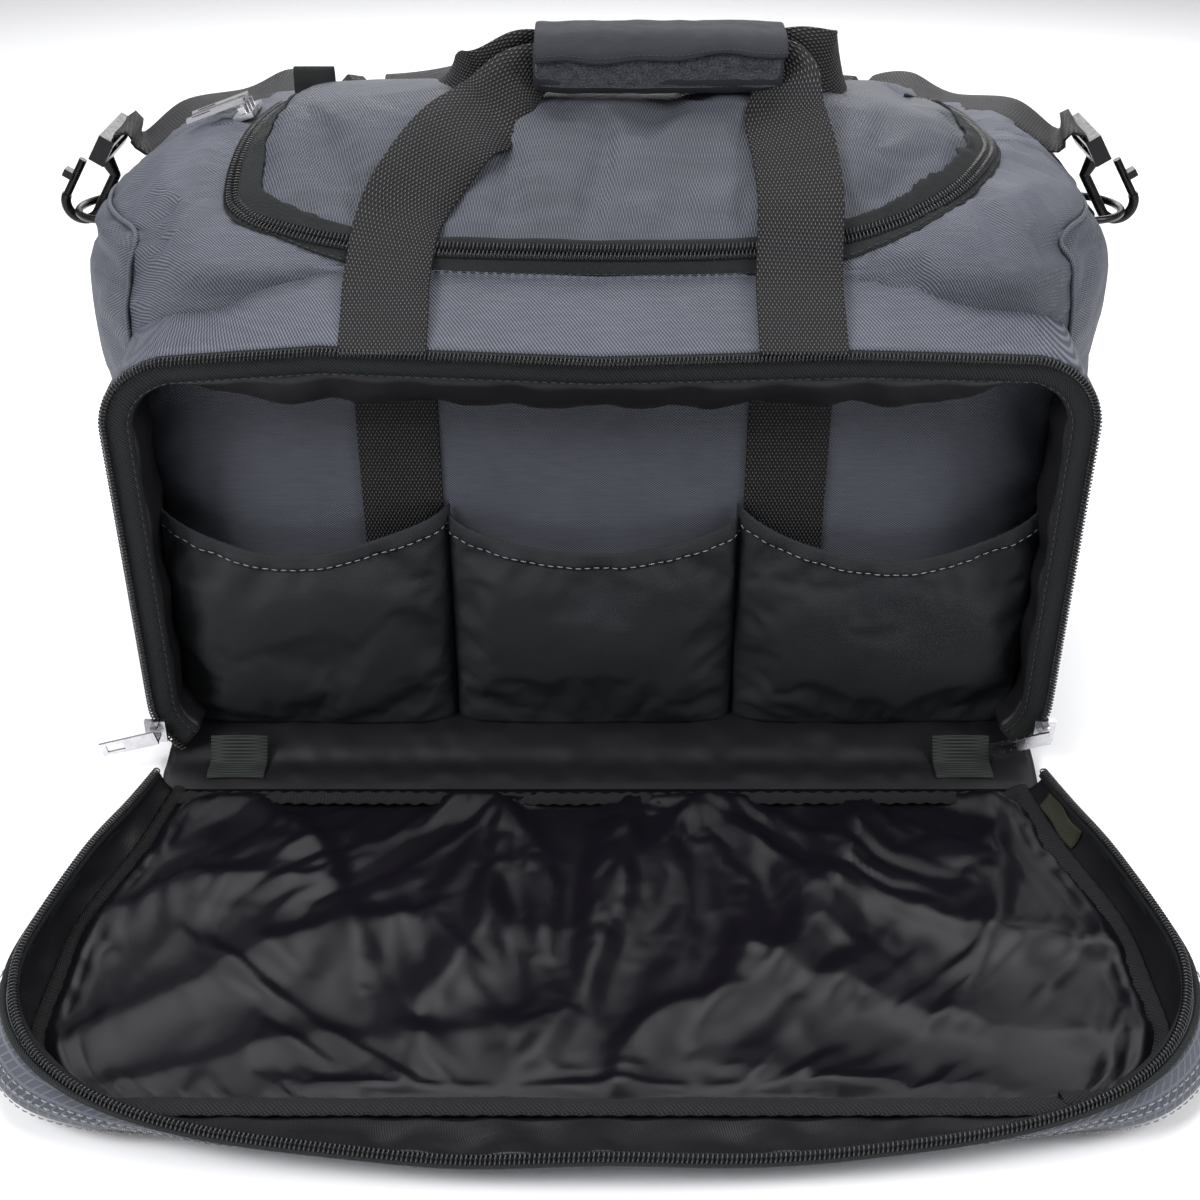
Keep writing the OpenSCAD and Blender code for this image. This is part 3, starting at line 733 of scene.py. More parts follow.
END_SEAMS = {"left": seam_line(corner_cols[0], corner_cols[1]),
             "right": seam_line(corner_cols[2], corner_cols[3])}
pins = np.zeros((ROWS, COLS))
pins[:FOOT_ROW + 1] = 1
pins[-2:] = 1
for places in END_SEAMS.values():
    for place_index, (i, j) in enumerate(places):
        pins[i, j] = 0.75 if place_index % 5 else 1.0
zip_hold = (zip_distance < 7).reshape(ROWS, COLS)
pins[zip_hold] = 1
settled = mesh_object("settling_shell", shell.reshape(-1, 3),
                      grid_faces(ROWS, COLS, wrap=True), GREY)
relax(settled, pins.ravel(), slack=0.035, pressure=2.0, frames=20, cap=5.0, stiff=0.6)
# The front wall stays nearly flat: the webbing and the pockets are sewn to it.
WALL_HOLD = 0.9
held = (WALL_HOLD * (1 - smoothstep(WALL_H - 30, WALL_H + 4, shell[..., 2]))
        * (1 - smoothstep(-HALF_D + 3, -HALF_D + 12, shell[..., 1]))
        * (1 - smoothstep(HALF_W - 50, HALF_W - 20, np.abs(shell[..., 0]))))[..., None]
shell = held * shell + (1 - held) * mesh_points(settled).reshape(ROWS, COLS, 3)
bpy.data.objects.remove(settled)
shell_normals = unit(np.cross(np.roll(shell, -1, 1) - np.roll(shell, 1, 1),
                              np.gradient(shell, axis=0)))
tree = BVHTree.FromPolygons(shell.reshape(-1, 3).tolist(),
                            grid_faces(ROWS, COLS, wrap=True))


def on_dome(x, y, lift=0.0):
    """The point of the body straight below (x, y), raised along its normal, and the normal."""
    hit, normal, _, _ = tree.ray_cast(Vector((x, y, CROWN_H + 60)), Vector((0, 0, -1)))
    if hit is None:
        hit, normal, _, _ = tree.find_nearest(Vector((x, y, WALL_H)))
    hit, normal = np.array(hit), np.array(normal)
    if normal[2] < 0:
        normal = -normal
    return hit + lift * normal, normal


def drape(line, lift=0.0, soften=3):
    """A line seen from above laid on the dome, with its normals softened along it."""
    pairs = [on_dome(x, y) for x, y in line]
    points = np.array([p for p, _ in pairs])
    normal = np.array([n for _, n in pairs])
    for _ in range(soften):
        padded = np.vstack([normal[:1], normal, normal[-1:]])
        normal = unit(padded[:-2] + 2 * padded[1:-1] + padded[2:])
    return points + lift * normal, normal


# The main panel runs from the front, over the top, to the back: its cloth is measured by
# the way round the body's middle section.
profile_at = np.linspace(-0.98 * math.pi, 0.98 * math.pi, 400)


def panel_weave(points):
    """Place on the cloth of the main panel."""
    angle = np.arctan2(points[:, 1] + 20, points[:, 2] - 90)
    typical = ramp(profile_at, [(-3, 100), (-2, 110), (-1.55, 110), (-0.6, 190), (0, 205),
                                (0.5, 190), (1.55, 140), (2, 150), (3, 110)])
    travelled = np.concatenate([[0], np.cumsum(typical[1:] * np.diff(profile_at))])
    return np.column_stack([points[:, 0], np.interp(angle, profile_at, travelled)])


def shell_piece(name, chosen, weave_of, material, crown=False):
    """The chosen faces of the shell as an object of its own, with its closed crown if
    asked."""
    faces = [f for f, keep in zip(grid_faces(ROWS, COLS, wrap=True), chosen) if keep]
    if crown:
        last = (ROWS - 1) * COLS
        middle = [(last + j, last + j + 1, last + COLS - j - 2, last + COLS - j - 1)
                  for j in range(COLS // 2 - 1)]
        faces += middle
    used = np.unique(np.array(faces))
    renumber = {int(v): i for i, v in enumerate(used)}
    points = shell.reshape(-1, 3)[used]
    faces = [tuple(renumber[v] for v in f) for f in faces]
    return mesh_object(name, points, faces, material, weave_of(points))


face_rows = np.repeat(np.arange(ROWS - 1), COLS)
face_cols = np.tile(np.arange(COLS), ROWS - 1)
all_faces = np.array(grid_faces(ROWS, COLS, wrap=True))
centres = shell.reshape(-1, 3)[all_faces].mean(1)
is_left = (face_cols >= corner_cols[0]) & (face_cols < corner_cols[1]) & (face_rows < SEAM_ROW)
is_right = (face_cols >= corner_cols[2]) & (face_cols < corner_cols[3]) & (face_rows < SEAM_ROW)
lid_outline = np.vstack([zip_line, [(zip_line[-1][0] - 2, FOLD_Y + 2),
                                    (zip_line[0][0] + 2, FOLD_Y + 2)]])
is_lid = inside(centres[:, :2], lid_outline) & (centres[:, 2] > WALL_H + 8)
is_lid &= centres[:, 1] < FOLD_Y
for side, chosen in (("left", is_left), ("right", is_right)):
    end = shell_piece("end_panel_" + side, chosen, lambda p: p[:, 1:], GREY)
    thicken(end, 1.6)
    place(end, "bag", "polyester", side + "_end")
main_panel = shell_piece("main_panel", ~(is_left | is_right | is_lid), panel_weave, GREY)
thicken(main_panel, 1.6)
place(main_panel, "bag", "polyester", "front_wall", "back_wall", "deck")
lid_cloth = shell_piece("lid_cloth", is_lid, lambda p: p[:, :2], LID_GREY, crown=True)
thicken(lid_cloth, 1.6)
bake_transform(lid_cloth)
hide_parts("lid_panel")
ring = shell[0]
bottom = mesh_object("bottom_panel", ring, [tuple(range(COLS))[::-1]], GREY, ring[:, :2])
place(bottom, "bag", "polyester", "base_panel")

# Piping in the end seams.
seam_parts = []
for side, places in END_SEAMS.items():
    path = np.array([shell[i, j] + 0.8 * shell_normals[i, j] for i, j in places])
    facing = np.array([shell_normals[i, j] for i, j in places])
    line = curve(np.hstack([path, facing])[::2], step=3.0)
    seam_parts.append(tube_part(line[:, :3], 1.2, sides=8, facing=unit(line[:, 3:])))
piping = join("end_piping", seam_parts, GREY)
place(piping, "bag", "polyester")


# ---------------------------------------------------------------- lid zip

zip_centre, zip_facing = drape(zip_line, soften=8)
zip_side = unit(np.cross(tangents(zip_centre), zip_facing))
zip_share = lengths(zip_centre) / lengths(zip_centre)[-1]


def beside_zip(distance, lift):
    """A line on the dome beside the zip, outwards where distance is positive, and its
    normals."""
    moved = zip_centre + zip_side * np.broadcast_to(distance, len(zip_centre))[:, None]
    found = [tree.find_nearest(Vector(p)) for p in moved]
    points = np.array([np.array(f[0]) for f in found])
    return points + lift * zip_facing, zip_facing


def zip_strip(shares, width, start, lift=0.9):
    """Tape from start to width beside the zip, with a slightly uneven edge."""
    uneven = 0.9 * wobble(zip_centre, 26.0, 5)
    rows = []
    for share in shares:
        rows.append(beside_zip(start + (width - start + uneven * np.sign(width)) * share,
                               lift + 0.4 * math.sin(math.pi * share))[0])
    return np.stack(rows, axis=1)


TAPE_SHARES = (0, 0.12, 0.35, 0.6, 0.85, 1.0)
OUTER_WIDTH = ramp(zip_share, [(0, 4.5), (0.22, 5), (0.3, 11), (0.62, 11.5), (0.75, 8), (1, 5)])
INNER_WIDTH = -ramp(zip_share, [(0, 15), (0.2, 15), (0.3, 6), (0.62, 6), (0.75, 12), (1, 15)])
COIL_APART = 1.75
outer_tape = sheet_object("zip_tape_outer", zip_strip(TAPE_SHARES, OUTER_WIDTH, 0.1), TAPE,
                          thick=1.3)
place(outer_tape, "bag", "zip_coil", "lid_zip_outer")
inner_tape = sheet_object("zip_tape_inner",
                          zip_strip(TAPE_SHARES, INNER_WIDTH, -0.1, lift=1.6)[:, ::-1], TAPE, thick=1.3)
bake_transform(inner_tape)
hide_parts("lid_zip_inner")
for name, side, phase, body in (("outer", 1, 0.0, "bag"), ("inner", -1, 0.5, "lid")):
    line, facing = beside_zip(side * COIL_APART, 1.9)
    coil = join("lid_coil_" + name, [coil_part(line, facing, wide=1.75, phase=phase)], COIL)
    if body == "bag":
        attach(coil, body)
    else:
        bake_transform(coil)
line, facing = beside_zip(OUTER_WIDTH - 1.2, 1.4)
stitching = join("lid_stitches_outer", [stitches_part(line, facing)], DARK_THREAD)
place(stitching, "bag", "tape")

# The tab of folded tape that stands behind the zip's left end.
TAB_LOW, TAB_HIGH = span("zip_end_tab")
tab_middle = (TAB_LOW[1] + TAB_HIGH[1]) / 2
tab_width = TAB_HIGH[0] - TAB_LOW[0]
tab_keys = [(tab_middle - 6, TAB_LOW[2] - 7), (tab_middle - 1, TAB_LOW[2] - 2),
            (tab_middle, TAB_HIGH[2] - 6), (tab_middle + 1.6, TAB_HIGH[2] - 0.5),
            (tab_middle + 3.6, TAB_HIGH[2] - 5), (tab_middle + 3.8, TAB_LOW[2] - 3)]
tab_line = curve([((TAB_LOW[0] + TAB_HIGH[0]) / 2, y, z) for y, z in tab_keys], step=1.5)
tab = join("zip_tab", [band_part(tab_line, np.tile(ALONG_X, (len(tab_line), 1)),
                                 tab_width, 1.1)], TAPE)
place(tab, "lid", "tape", "zip_end_tab")


# ---------------------------------------------------------------- front pocket

RIM_R = 30.0
RIM_STEP = 3.0


def rim_outline(shrink=0.0):
    """The pocket rim seen from the front, from the left foot over the top to the right."""
    x, low, high = RIM_HALF - shrink, RIM_BOTTOM + shrink, RIM_TOP - shrink
    r = RIM_R - shrink
    steps = np.radians(np.linspace(0, 90, 9))
    left_foot = [(-x + r * (1 - math.cos(a)), low + r * (1 - math.sin(a)))
                 for a in np.radians(np.linspace(52, 0, 5))]
    left_top = [(-x + r - r * math.cos(a), high - r + r * math.sin(a)) for a in steps]
    flat = [(s * (x - r), high) for s in np.linspace(-1, 1, 9)[1:-1]]
    half = left_foot + [(-x, low + (high - low) * k) for k in (0.3, 0.45, 0.6, 0.72)] + left_top
    mirrored = [(-a, b) for a, b in half[::-1]]
    return curve([(a, RIM_Y, b) for a, b in half + flat + mirrored], step=RIM_STEP)


RIM_PROUD = 4.0
rim = rim_outline(-RIM_PROUD)
rim[:, 2] += smoothstep(RIM_TOP - 60, RIM_TOP, rim[:, 2]) * np.interp(
    rim[:, 0], [-200, -120, 0, 110, 200], [0, 5.5, 0.5, 3.5, 1.0])
rim_t = tangents(rim)
rim_in = np.column_stack([rim_t[:, 2], np.zeros(len(rim)), -rim_t[:, 0]])
rim_s = lengths(rim)
rim_share = rim_s / rim_s[-1]
at_top = smoothstep(0.25, 0.33, rim_share) * (1 - smoothstep(0.67, 0.75, rim_share))
foot_fade = smoothstep(0, 0.05, rim_share) * (1 - smoothstep(0.95, 1, rim_share))


def across_rim(inward, depth):
    """A line beside the rim: inward in its own plane and depth behind it."""
    return rim + rim_in * np.broadcast_to(inward, len(rim))[:, None] + np.outer(
        np.broadcast_to(depth, len(rim)), [0, 1, 0])


# Tape in the rim's plane, then the lining that runs back to the wall and droops.
tape_rows = [across_rim(i, d) for i, d in ((0.2, 1.2), (0.6, -0.6), (4, -1.4), (9, -0.9),
                                           (13, 0.8), (13.6, 2.4))]
rim_tape = sheet_object("rim_tape", np.stack(tape_rows, 1), TAPE, thick=1.2)
place(rim_tape, "bag", "zip_coil", "pocket_zip")
coil_line = across_rim(1.6, -2.2)
coil_facing = unit(np.column_stack([-rim_in[:, 0] * 0.5, -np.ones(len(rim)), -rim_in[:, 2] * 0.5]))
rim_coil = join("rim_coil", [coil_part(coil_line, coil_facing, wide=1.7, high=1.3)], COIL)
place(rim_coil, "bag", "zip_coil")
rim_stitch = join("rim_stitches", [stitches_part(across_rim(12.2, -0.7),
                                                 np.tile(FORWARD, (len(rim), 1)))], DARK_THREAD)
place(rim_stitch, "bag", "tape")

WALL_INSET = 1.5
END_ROUND = 24.0
DEPTHS = np.linspace(0, 1, 13)
GUSSET_DEPTH = WALL_Y - RIM_Y - WALL_INSET
lining_rows = []
for k in DEPTHS:
    droop = 15 * at_top * math.sin(math.pi * min(1, k * 1.15)) + 10 * at_top * k
    belly = 3.0 * (1 - at_top) * math.sin(math.pi * k)
    line = across_rim(12.5 + droop + belly - 9 * k * (1 - at_top) - 4 * k * at_top,
                      2.2 + (GUSSET_DEPTH - 2.2 + END_ROUND * (1 - at_top)) * k)
    folds = (wobble(line, 16.0, 11) * 1.6 + wobble(line, 7.0, 12) * 0.9
             + 1.3 * np.sin(rim_s / 6.1 + 2.0 * wobble(line, 30, 13)))
    line = line + rim_in * (folds * math.sin(math.pi * min(1, 0.12 + k)) * foot_fade)[:, None]
    lining_rows.append(line)
gusset = sheet_object("pocket_lining_sides", np.stack(lining_rows, 1), LINING, thick=0.8,
                      offset=1)
place(gusset, "bag", "lining", "pocket_gusset_sides", "pocket_gusset_top_bottom")
cut_from(np.stack(lining_rows, 1))

# Outside of the gusset: it slopes from the body's shoulder out to the rim.
BROW_RISE, BROW_REACH = 22.0, 40.0
brow_rows = []
for k in np.linspace(0, 1, 12):
    outward = 0.4 + (BROW_RISE * at_top + 7.0 * (1 - at_top)) * k ** 1.15
    reach = WALL_Y - RIM_Y + 1.5 + BROW_REACH * (1 - at_top)
    line = across_rim(-outward, 0.8 + reach * math.sin(k * math.pi / 2) ** 1.1)
    line = line - rim_in * (1.6 * np.sin(math.pi * k) * wobble(line, 34, 21))[:, None]
    brow_rows.append(line)
brow = np.stack(brow_rows[::-1], 1)
brow_weave = np.stack([brow[..., 0], brow[..., 2] * 1.3], -1)
brow_obj = sheet_object("pocket_brow", brow, GREY, thick=1.2, weave=brow_weave, offset=-1)
place(brow_obj, "bag", "polyester")

# Bottom of the pocket and the strip that the cover hangs from.
STRIP_HIGH = span("hinge_strip")[1]
BACK_HALF = STRIP_HIGH[0] + 6
xs = np.linspace(-1, 1, 120)
bottom_rows = []
for k, (y, z) in enumerate([(WALL_Y - 1.5, RIM_BOTTOM + 5), (WALL_Y - 12, RIM_BOTTOM + 3.4),
                            (RIM_Y + 12, RIM_BOTTOM + 3.0), (RIM_Y + 2, RIM_BOTTOM + 1.4),
                            (RIM_Y - 7, 3.6), (RIM_Y - 16, 3.4), (HINGE_Y + 6, 3.2),
                            (HINGE_Y + 0.6, 2.4), (HINGE_Y - 3, 2.6)]):
    half = ramp(y, [(HINGE_Y, BACK_HALF + 1), (RIM_Y - 10, RIM_HALF - 2), (WALL_Y, RIM_HALF - 4)])
    row = np.column_stack([xs * half, np.full(len(xs), y), np.full(len(xs), z)])
    puckers = 2.0 * np.abs(wobble(row, 14.0, 31)) + 1.0 * np.abs(wobble(row, 6.0, 32))
    row[:, 2] += puckers * smoothstep(HINGE_Y, HINGE_Y + 12, y)
    bottom_rows.append(row)
strip_points = np.stack(bottom_rows, 0)
strip_points = np.stack([curve(strip_points[:, j], count=40) for j in range(len(xs))], 1)
strip = sheet_object("pocket_bottom", strip_points, LINING, thick=0.7, offset=1)
place(strip, "bag", "lining", "hinge_strip")

# Grosgrain tabs fold over the strip's ends beside the rim's feet.
for side in (-1, 1):
    keys = [(RIM_Y - 1, RIM_BOTTOM + 11), (RIM_Y - 4, RIM_BOTTOM + 6), (RIM_Y - 9, 5.6),
            (RIM_Y - 16, 5.2), (RIM_Y - 20, 4.4)]
    line = curve([(side * (RIM_HALF - 38), y, z) for y, z in keys], step=1.2)
    tab = join("grosgrain_tab_" + ("left" if side < 0 else "right"),
               [band_part(line, np.tile(ALONG_X, (len(line), 1)), 28, 1.3)], GROSGRAIN)
    place(tab, "bag", "tape")


# The three organiser pockets: each a sagging front with pleated ends.
ORGANISERS = {name: span("organiser_" + name) for name in ("left", "middle", "right")}
POCKET_FRONT = ORGANISERS["left"][0][1]
HEM_SMOOTHING = 40
PLEAT_OVERLAP = 1.7


def pocket_top(name, x):
    """Height of a pocket's hem along its width."""
    low, high = ORGANISERS[name]
    t = (x - low[0]) / (high[0] - low[0])
    sag = {"left": (-1, -13, -25, -23, -11, -5), "middle": (-3, -10, -17, -18, -9, -4),
           "right": (-1, -12, -23, -23, -9, 1)}[name]
    top = high[2] + 3 + np.interp(t, [0, 0.14, 0.38, 0.62, 0.88, 1], sag)
    for _ in range(HEM_SMOOTHING):
        top[1:-1] = (top[:-2] + 2 * top[1:-1] + top[2:]) / 4
    return top


def organiser(name, seed):
    """A pocket front from its bottom seam to its hem, puffed forward, with pleats."""
    low, high = ORGANISERS[name]
    x = np.linspace(low[0] - PLEAT_OVERLAP, high[0] + PLEAT_OVERLAP, 74)
    top = pocket_top(name, x)
    foot = RIM_BOTTOM + 3.5
    t = (x - low[0]) / (high[0] - low[0])
    edge = np.minimum(x - x[0], x[-1] - x)
    rows = []
    for k in np.linspace(0, 1, 44):
        z = foot + (top - foot) * k
        puff = 1 - np.exp(-edge / 6.0)
        forward = (WALL_Y - 5 - POCKET_FRONT) * puff * (0.55 + 0.45 * math.sin(
            math.pi * (0.15 + 0.65 * k)))
        forward += 4.5 * k * np.sin(np.pi * np.clip(t, 0, 1)) ** 0.6
        y = WALL_Y - 5 - forward
        row = np.column_stack([x, y, z])
        row[:, 1] += (1.5 * wobble(row, 42.0, seed) + 0.7 * wobble(row, 18, seed + 1)
                      ) * puff * (1 - 0.5 * k)
        rows.append(row)
    return np.stack(rows, 0)


for seed, name in enumerate(ORGANISERS):
    points = organiser(name, 40 + 3 * seed)
    rows, cols = points.shape[:2]
    weave = grid_weave(points)
    settling = mesh_object("settling_" + name, points.reshape(-1, 3), grid_faces(rows, cols),
                           POCKET)
    pins = np.zeros((rows, cols))
    pins[:2] = 1
    pins[:, :2] = 1
    pins[:, -2:] = 1
    pins[-1] = 0.55
    relax(settling, pins.ravel(), slack=0.035, pressure=-0.8, frames=14, cap=5.0, stiff=1.5)
    points = mesh_points(settling).reshape(rows, cols, 3)
    bpy.data.objects.remove(settling)
    front = sheet_object("organiser_front_" + name, points, POCKET, thick=0.9, weave=weave)
    place(front, "bag", "pocket_fabric", "organiser_" + name)
    cut_from(points)
    # A folded hem and its row of light stitches.
    n = -grid_normals(points)
    n = np.where(n[..., 1:2] > 0, -n, n)
    top = points[-1] + 0.4 * n[-1]
    hem_rows = np.stack([points[-1] + np.array([0, 2.2, -3.0]), points[-1] + [0, 1.2, 0.2],
                         points[-1] + [0, 0, 0.9], top + [0, -0.2, -0.4],
                         points[-3] + 0.9 * n[-3], points[-4] + 0.5 * n[-4]], 0)
    hem = sheet_object("organiser_hem_" + name, hem_rows, POCKET, thick=0.5, offset=1)
    place(hem, "bag", "pocket_fabric")
    seam = resample(points[-3] * 0.35 + points[-4] * 0.65 + 1.0 * n[-3], step=1.5)
    stitch = join("organiser_stitches_" + name,
                  [stitches_part(seam, np.tile(unit(FORWARD + 0.3 * UP), (len(seam), 1)),
                                 length=2.4, space=2.0, radius=0.3)], THREAD)
    place(stitch, "bag", "pocket_fabric")


# ---------------------------------------------------------------- cover

FLOOR_Z = 3.4
CORNER_R = 46.0


def cover_outline(shrink=0.0, step=3.0):
    """The cover's floor edge from its left hinge end round the front to the right."""
    back = STRIP_HIGH[0] - shrink
    x, front = FLAP_HALF - shrink, FLAP_FRONT + shrink
    r = CORNER_R - shrink
    a = np.radians(np.linspace(0, 90, 9))
    half = [(-back, HINGE_Y - 1), (-back - 7, HINGE_Y - 42), (-x + 3, HINGE_Y - 86),
            (-x, FLAP_FRONT + 88), (-x, FLAP_FRONT + 66)]
    half += [(-x + r * (1 - math.cos(k)), front + r * (1 - math.sin(k))) for k in a]
    half += [(-x + r + s * (x - r), front) for s in (0.25, 0.5, 0.75)]
    mirrored = [(-p, q) for p, q in half[::-1]]
    return curve(half + [(0, front)] + mirrored, step=step, measure=2)


outline = cover_outline()
outline_s = lengths(outline)
outline_t = tangents(outline)
outward = np.column_stack([outline_t[:, 1], -outline_t[:, 0]])
from_end = np.minimum(outline_s, outline_s[-1] - outline_s)
in_front = 1 - smoothstep(FLAP_FRONT + 4, FLAP_FRONT + 46, outline[:, 1])

# The rim of the cover from its right hinge end to near the middle of its front, which is
# then used for both sides.
half_rim = [(BACK_HALF, HINGE_Y - 2, 16), (FLAP_HALF - 11, HINGE_Y - 34, 21),
            (FLAP_HALF - 3, HINGE_Y - 74, 26), (FLAP_HALF + 4, FLAP_FRONT + 70, 30),
            (FLAP_HALF + 3, FLAP_FRONT + 44, 30), (FLAP_HALF - 6, FLAP_FRONT + 21, 29),
            (FLAP_HALF - 22, FLAP_FRONT + 2, 27), (FLAP_HALF - 45, FLAP_FRONT - 12, 24),
            (FLAP_HALF - 76, FLAP_FRONT - 21, 21), (FLAP_HALF - 119, FLAP_FRONT - 27, 18.5),
            (FLAP_HALF - 172, FLAP_FRONT - 31, 16.5)]
rim_keys = [(-x, y, z) for x, y, z in half_rim] + [(0, FLAP_FRONT - 32.5, LIP_TOP)] + [
    (x, y, z) for x, y, z in half_rim[::-1]]
cover_rim = curve(rim_keys, count=len(outline))
cover_rim[:, 2] += 1.4 * wobble(cover_rim, 60.0, 51) * smoothstep(0, 60, from_end)
foot = np.column_stack([outline, np.full(len(outline), FLOOR_Z)])


def on_cover(obj, slot, *nodes):
    """A piece of the cover, its transform baked into its mesh and the CAD nodes it stands for hidden.
    """
    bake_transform(obj)
    if nodes:
        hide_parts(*nodes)
    return obj


# Floor lining: a sheet held along its edge, settled and then given drawn folds.
floor_outline = cover_outline(shrink=2.0)
NX, NY = 170, 84


def cover_half(y):
    """Half width of the cover's floor at each y."""
    left = floor_outline[: len(floor_outline) // 2]
    order = np.argsort(left[:, 1])
    return np.interp(y, left[order, 1], -left[order, 0])


v = np.linspace(0, 1, NY)
ys = (HINGE_Y - 0.5) + (FLAP_FRONT + 2 - HINGE_Y) * v
us = np.linspace(-1, 1, NX)
half = cover_half(np.maximum(ys, FLAP_FRONT + 2.2))
floor = np.zeros((NY, NX, 3))
floor[..., 0] = us[None] * half[:, None]
floor[..., 1] = ys[:, None]
edge_in = np.minimum.reduce([(1 - np.abs(us))[None] * half[:, None] * np.ones((NY, 1)),
                             np.abs(ys - ys[0])[:, None] * np.ones((1, NX)),
                             np.abs(ys - ys[-1])[:, None] * np.ones((1, NX))])
floor[..., 2] = FLOOR_Z + 0.8 * smoothstep(0, 10, edge_in)
FLOOR_FOLDS = [
    # Start and end as shares of the half width and of the length, width, height.
    ((-0.97, 0.90), (-0.40, 0.48), 15, 7.5), ((-0.84, 0.97), (-0.16, 0.80), 13, 5.5),
    ((-0.70, 0.06), (-0.46, 0.62), 13, 6.5), ((-0.44, 0.08), (-0.66, 0.80), 12, -2.5),
    ((-0.22, 0.10), (-0.30, 0.70), 14, 6.5), ((0.06, 0.10), (-0.12, 0.88), 12, 6.5),
    ((0.24, 0.08), (0.46, 0.60), 13, 6.0), ((0.56, 0.10), (0.20, 0.74), 15, 7.5),
    ((0.97, 0.58), (0.46, 0.34), 12, 6.5), ((0.97, 0.84), (0.34, 0.62), 14, 7.0),
    ((0.88, 0.98), (0.26, 0.90), 12, 5.5), ((0.80, 0.06), (0.70, 0.62), 11, 6.0),
    ((-0.98, 0.50), (-0.62, 0.36), 11, 5.5), ((0.02, 0.96), (0.24, 0.70), 10, 4.5),
]


def fold_height(start, end, width, high):
    """Height of one soft fold over the floor: sharp on one side and gentle on the other."""
    a, b = (np.array([share[0] * FLAP_HALF, ys[0] + (ys[-1] - ys[0]) * share[1]])
            for share in (start, end))
    along = b - a
    rel = floor[..., :2] - a
    t = np.clip((rel @ along) / (along @ along), 0, 1)
    across = unit(np.array([-along[1], along[0]]))
    bend = 11 * np.sin(t * math.pi) + 7 * wander
    near = rel - t[..., None] * along - bend[..., None] * across
    d = np.linalg.norm(near, axis=-1)
    side = np.where(near @ across > 0, 0.6, 1.25)
    return high * np.exp(-(d / (width * side)) ** 1.7) * (1 - 0.45 * t)


def ridges(scale, seed):
    """Noise with rounded valleys and narrow crests, stretched along the cover's depth."""
    stretched = floor * np.array([1.0, 0.55, 1.0])
    return (1 - np.abs(wobble(stretched, scale, seed)).reshape(NY, NX) * 1.9).clip(0) ** 2


floor_weave = grid_weave(floor)
settling = mesh_object("settling_floor", floor.reshape(-1, 3), grid_faces(NY, NX), SATIN)
pins = np.zeros((NY, NX))
pins[:2] = pins[-2:] = 1
pins[:, :2] = pins[:, -2:] = 1
relax(settling, pins.ravel(), slack=0.07, frames=18, cap=4.0, stiff=0.35, gravity=0.0)
settled_up = mesh_points(settling).reshape(NY, NX, 3)[..., 2] - floor[..., 2]
bpy.data.objects.remove(settling)
wander = wobble(floor, 55.0, 63).reshape(NY, NX)
folds = sum(fold_height(*fold) for fold in FLOOR_FOLDS)
folds += 2.6 * ridges(75.0, 61) + 1.0 * ridges(34.0, 62)
near_hinge = np.exp(-((ys - ys[0]) / 16) ** 2)[:, None]
folds += 2.2 * near_hinge * ridges(9.0, 65)
floor[..., 2] += settled_up + (folds - 1.2) * smoothstep(0, 15, edge_in)
floor[..., 2] = FLOOR_Z - 0.6 + np.logaddexp(0, (floor[..., 2] - FLOOR_Z + 0.6) / 1.2) * 1.14
floor_obj = sheet_object("cover_floor", floor[:, ::-1], SATIN, thick=0.6, offset=1,
                         weave=floor_weave)
place(floor_obj, "cover", "lining", "flap_lining")
cut_from(floor)

# Side and front walls of the tray: lining inside, then tape and coil on the edge.
def tray_row(k):
    """A line round the tray at a share of the way from its foot to its rim."""
    bow = math.sin(math.pi * k)
    row = foot * (1 - k) + cover_rim * k
    row[:, :2] += outward * (bow * (2.5 + 2.5 * in_front))[:, None]
    folds = 1.5 * wobble(row, 15.0, 71) + 1.0 * np.sin(outline_s / 5.2 + 3 * wobble(row, 40, 72))
    row[:, :2] -= outward * (folds * bow * 0.9)[:, None]
    row[:, 2] += folds * bow * 0.8 * in_front
    return row


tray = np.stack([tray_row(k) for k in np.linspace(0, 0.9, 16)], 1)
tray_obj = sheet_object("cover_walls", tray, LINING, thick=0.6, offset=1)
on_cover(tray_obj, "lining", "flap_gusset_left", "flap_gusset_right", "flap_gusset_front")

patch = sheet_object("olive_patch", tray[-17:-5, 3:13] + np.array([-1.2, 0, 0.4]), OLIVE,
                     thick=0.4, offset=1)
place(patch, "cover", "lining")

rim_up = unit(np.column_stack([outward * (0.25 + 0.6 * in_front)[:, None],
                               np.ones(len(outline)) - 0.45 * in_front]))
rim_side = np.column_stack([outward, np.zeros(len(outline))])


def beside_rim(up, out):
    return cover_rim + rim_up * up + rim_side * out


cover_tape = sheet_object("cover_tape", np.stack(
    [tray_row(0.78), tray_row(0.84) + rim_up * 0.5, beside_rim(-2.2, -0.4),
     beside_rim(-0.2, -0.2), beside_rim(0.2, 0.8), beside_rim(-2.5, 1.8),
     beside_rim(-8, 2.6)], 1), TAPE, thick=0.8, offset=0)
on_cover(cover_tape, "zip_coil", "flap_zip_sides", "flap_zip_front")
cover_coil = join("cover_coil", [coil_part(beside_rim(1.0, 0.2), rim_up, wide=1.7, high=1.3)],
                  COIL)
on_cover(cover_coil, "zip_coil")

# Outside of the cover: grey cloth that bulges at the front corners, with stitched lines.
in_corner = np.exp(-((from_end - 172) / 46) ** 2)
ground = np.column_stack([outline + outward * 1.0, np.full(len(outline), 0.6)])


def skirt_row(k):
    bulge = math.sin(math.pi * min(1, k * 0.92 + 0.05)) * (4.5 + 9.0 * in_corner + 2 * in_front)
    row = beside_rim(-3.0, 2.4) * (1 - k) + ground * k
    row[:, :2] += outward * bulge[:, None]
    row[:, :2] += outward * (1.0 * wobble(row, 24, 81) * math.sin(math.pi * k))[:, None]
    row[:, 2] = np.maximum(row[:, 2], 0.6)
    return row


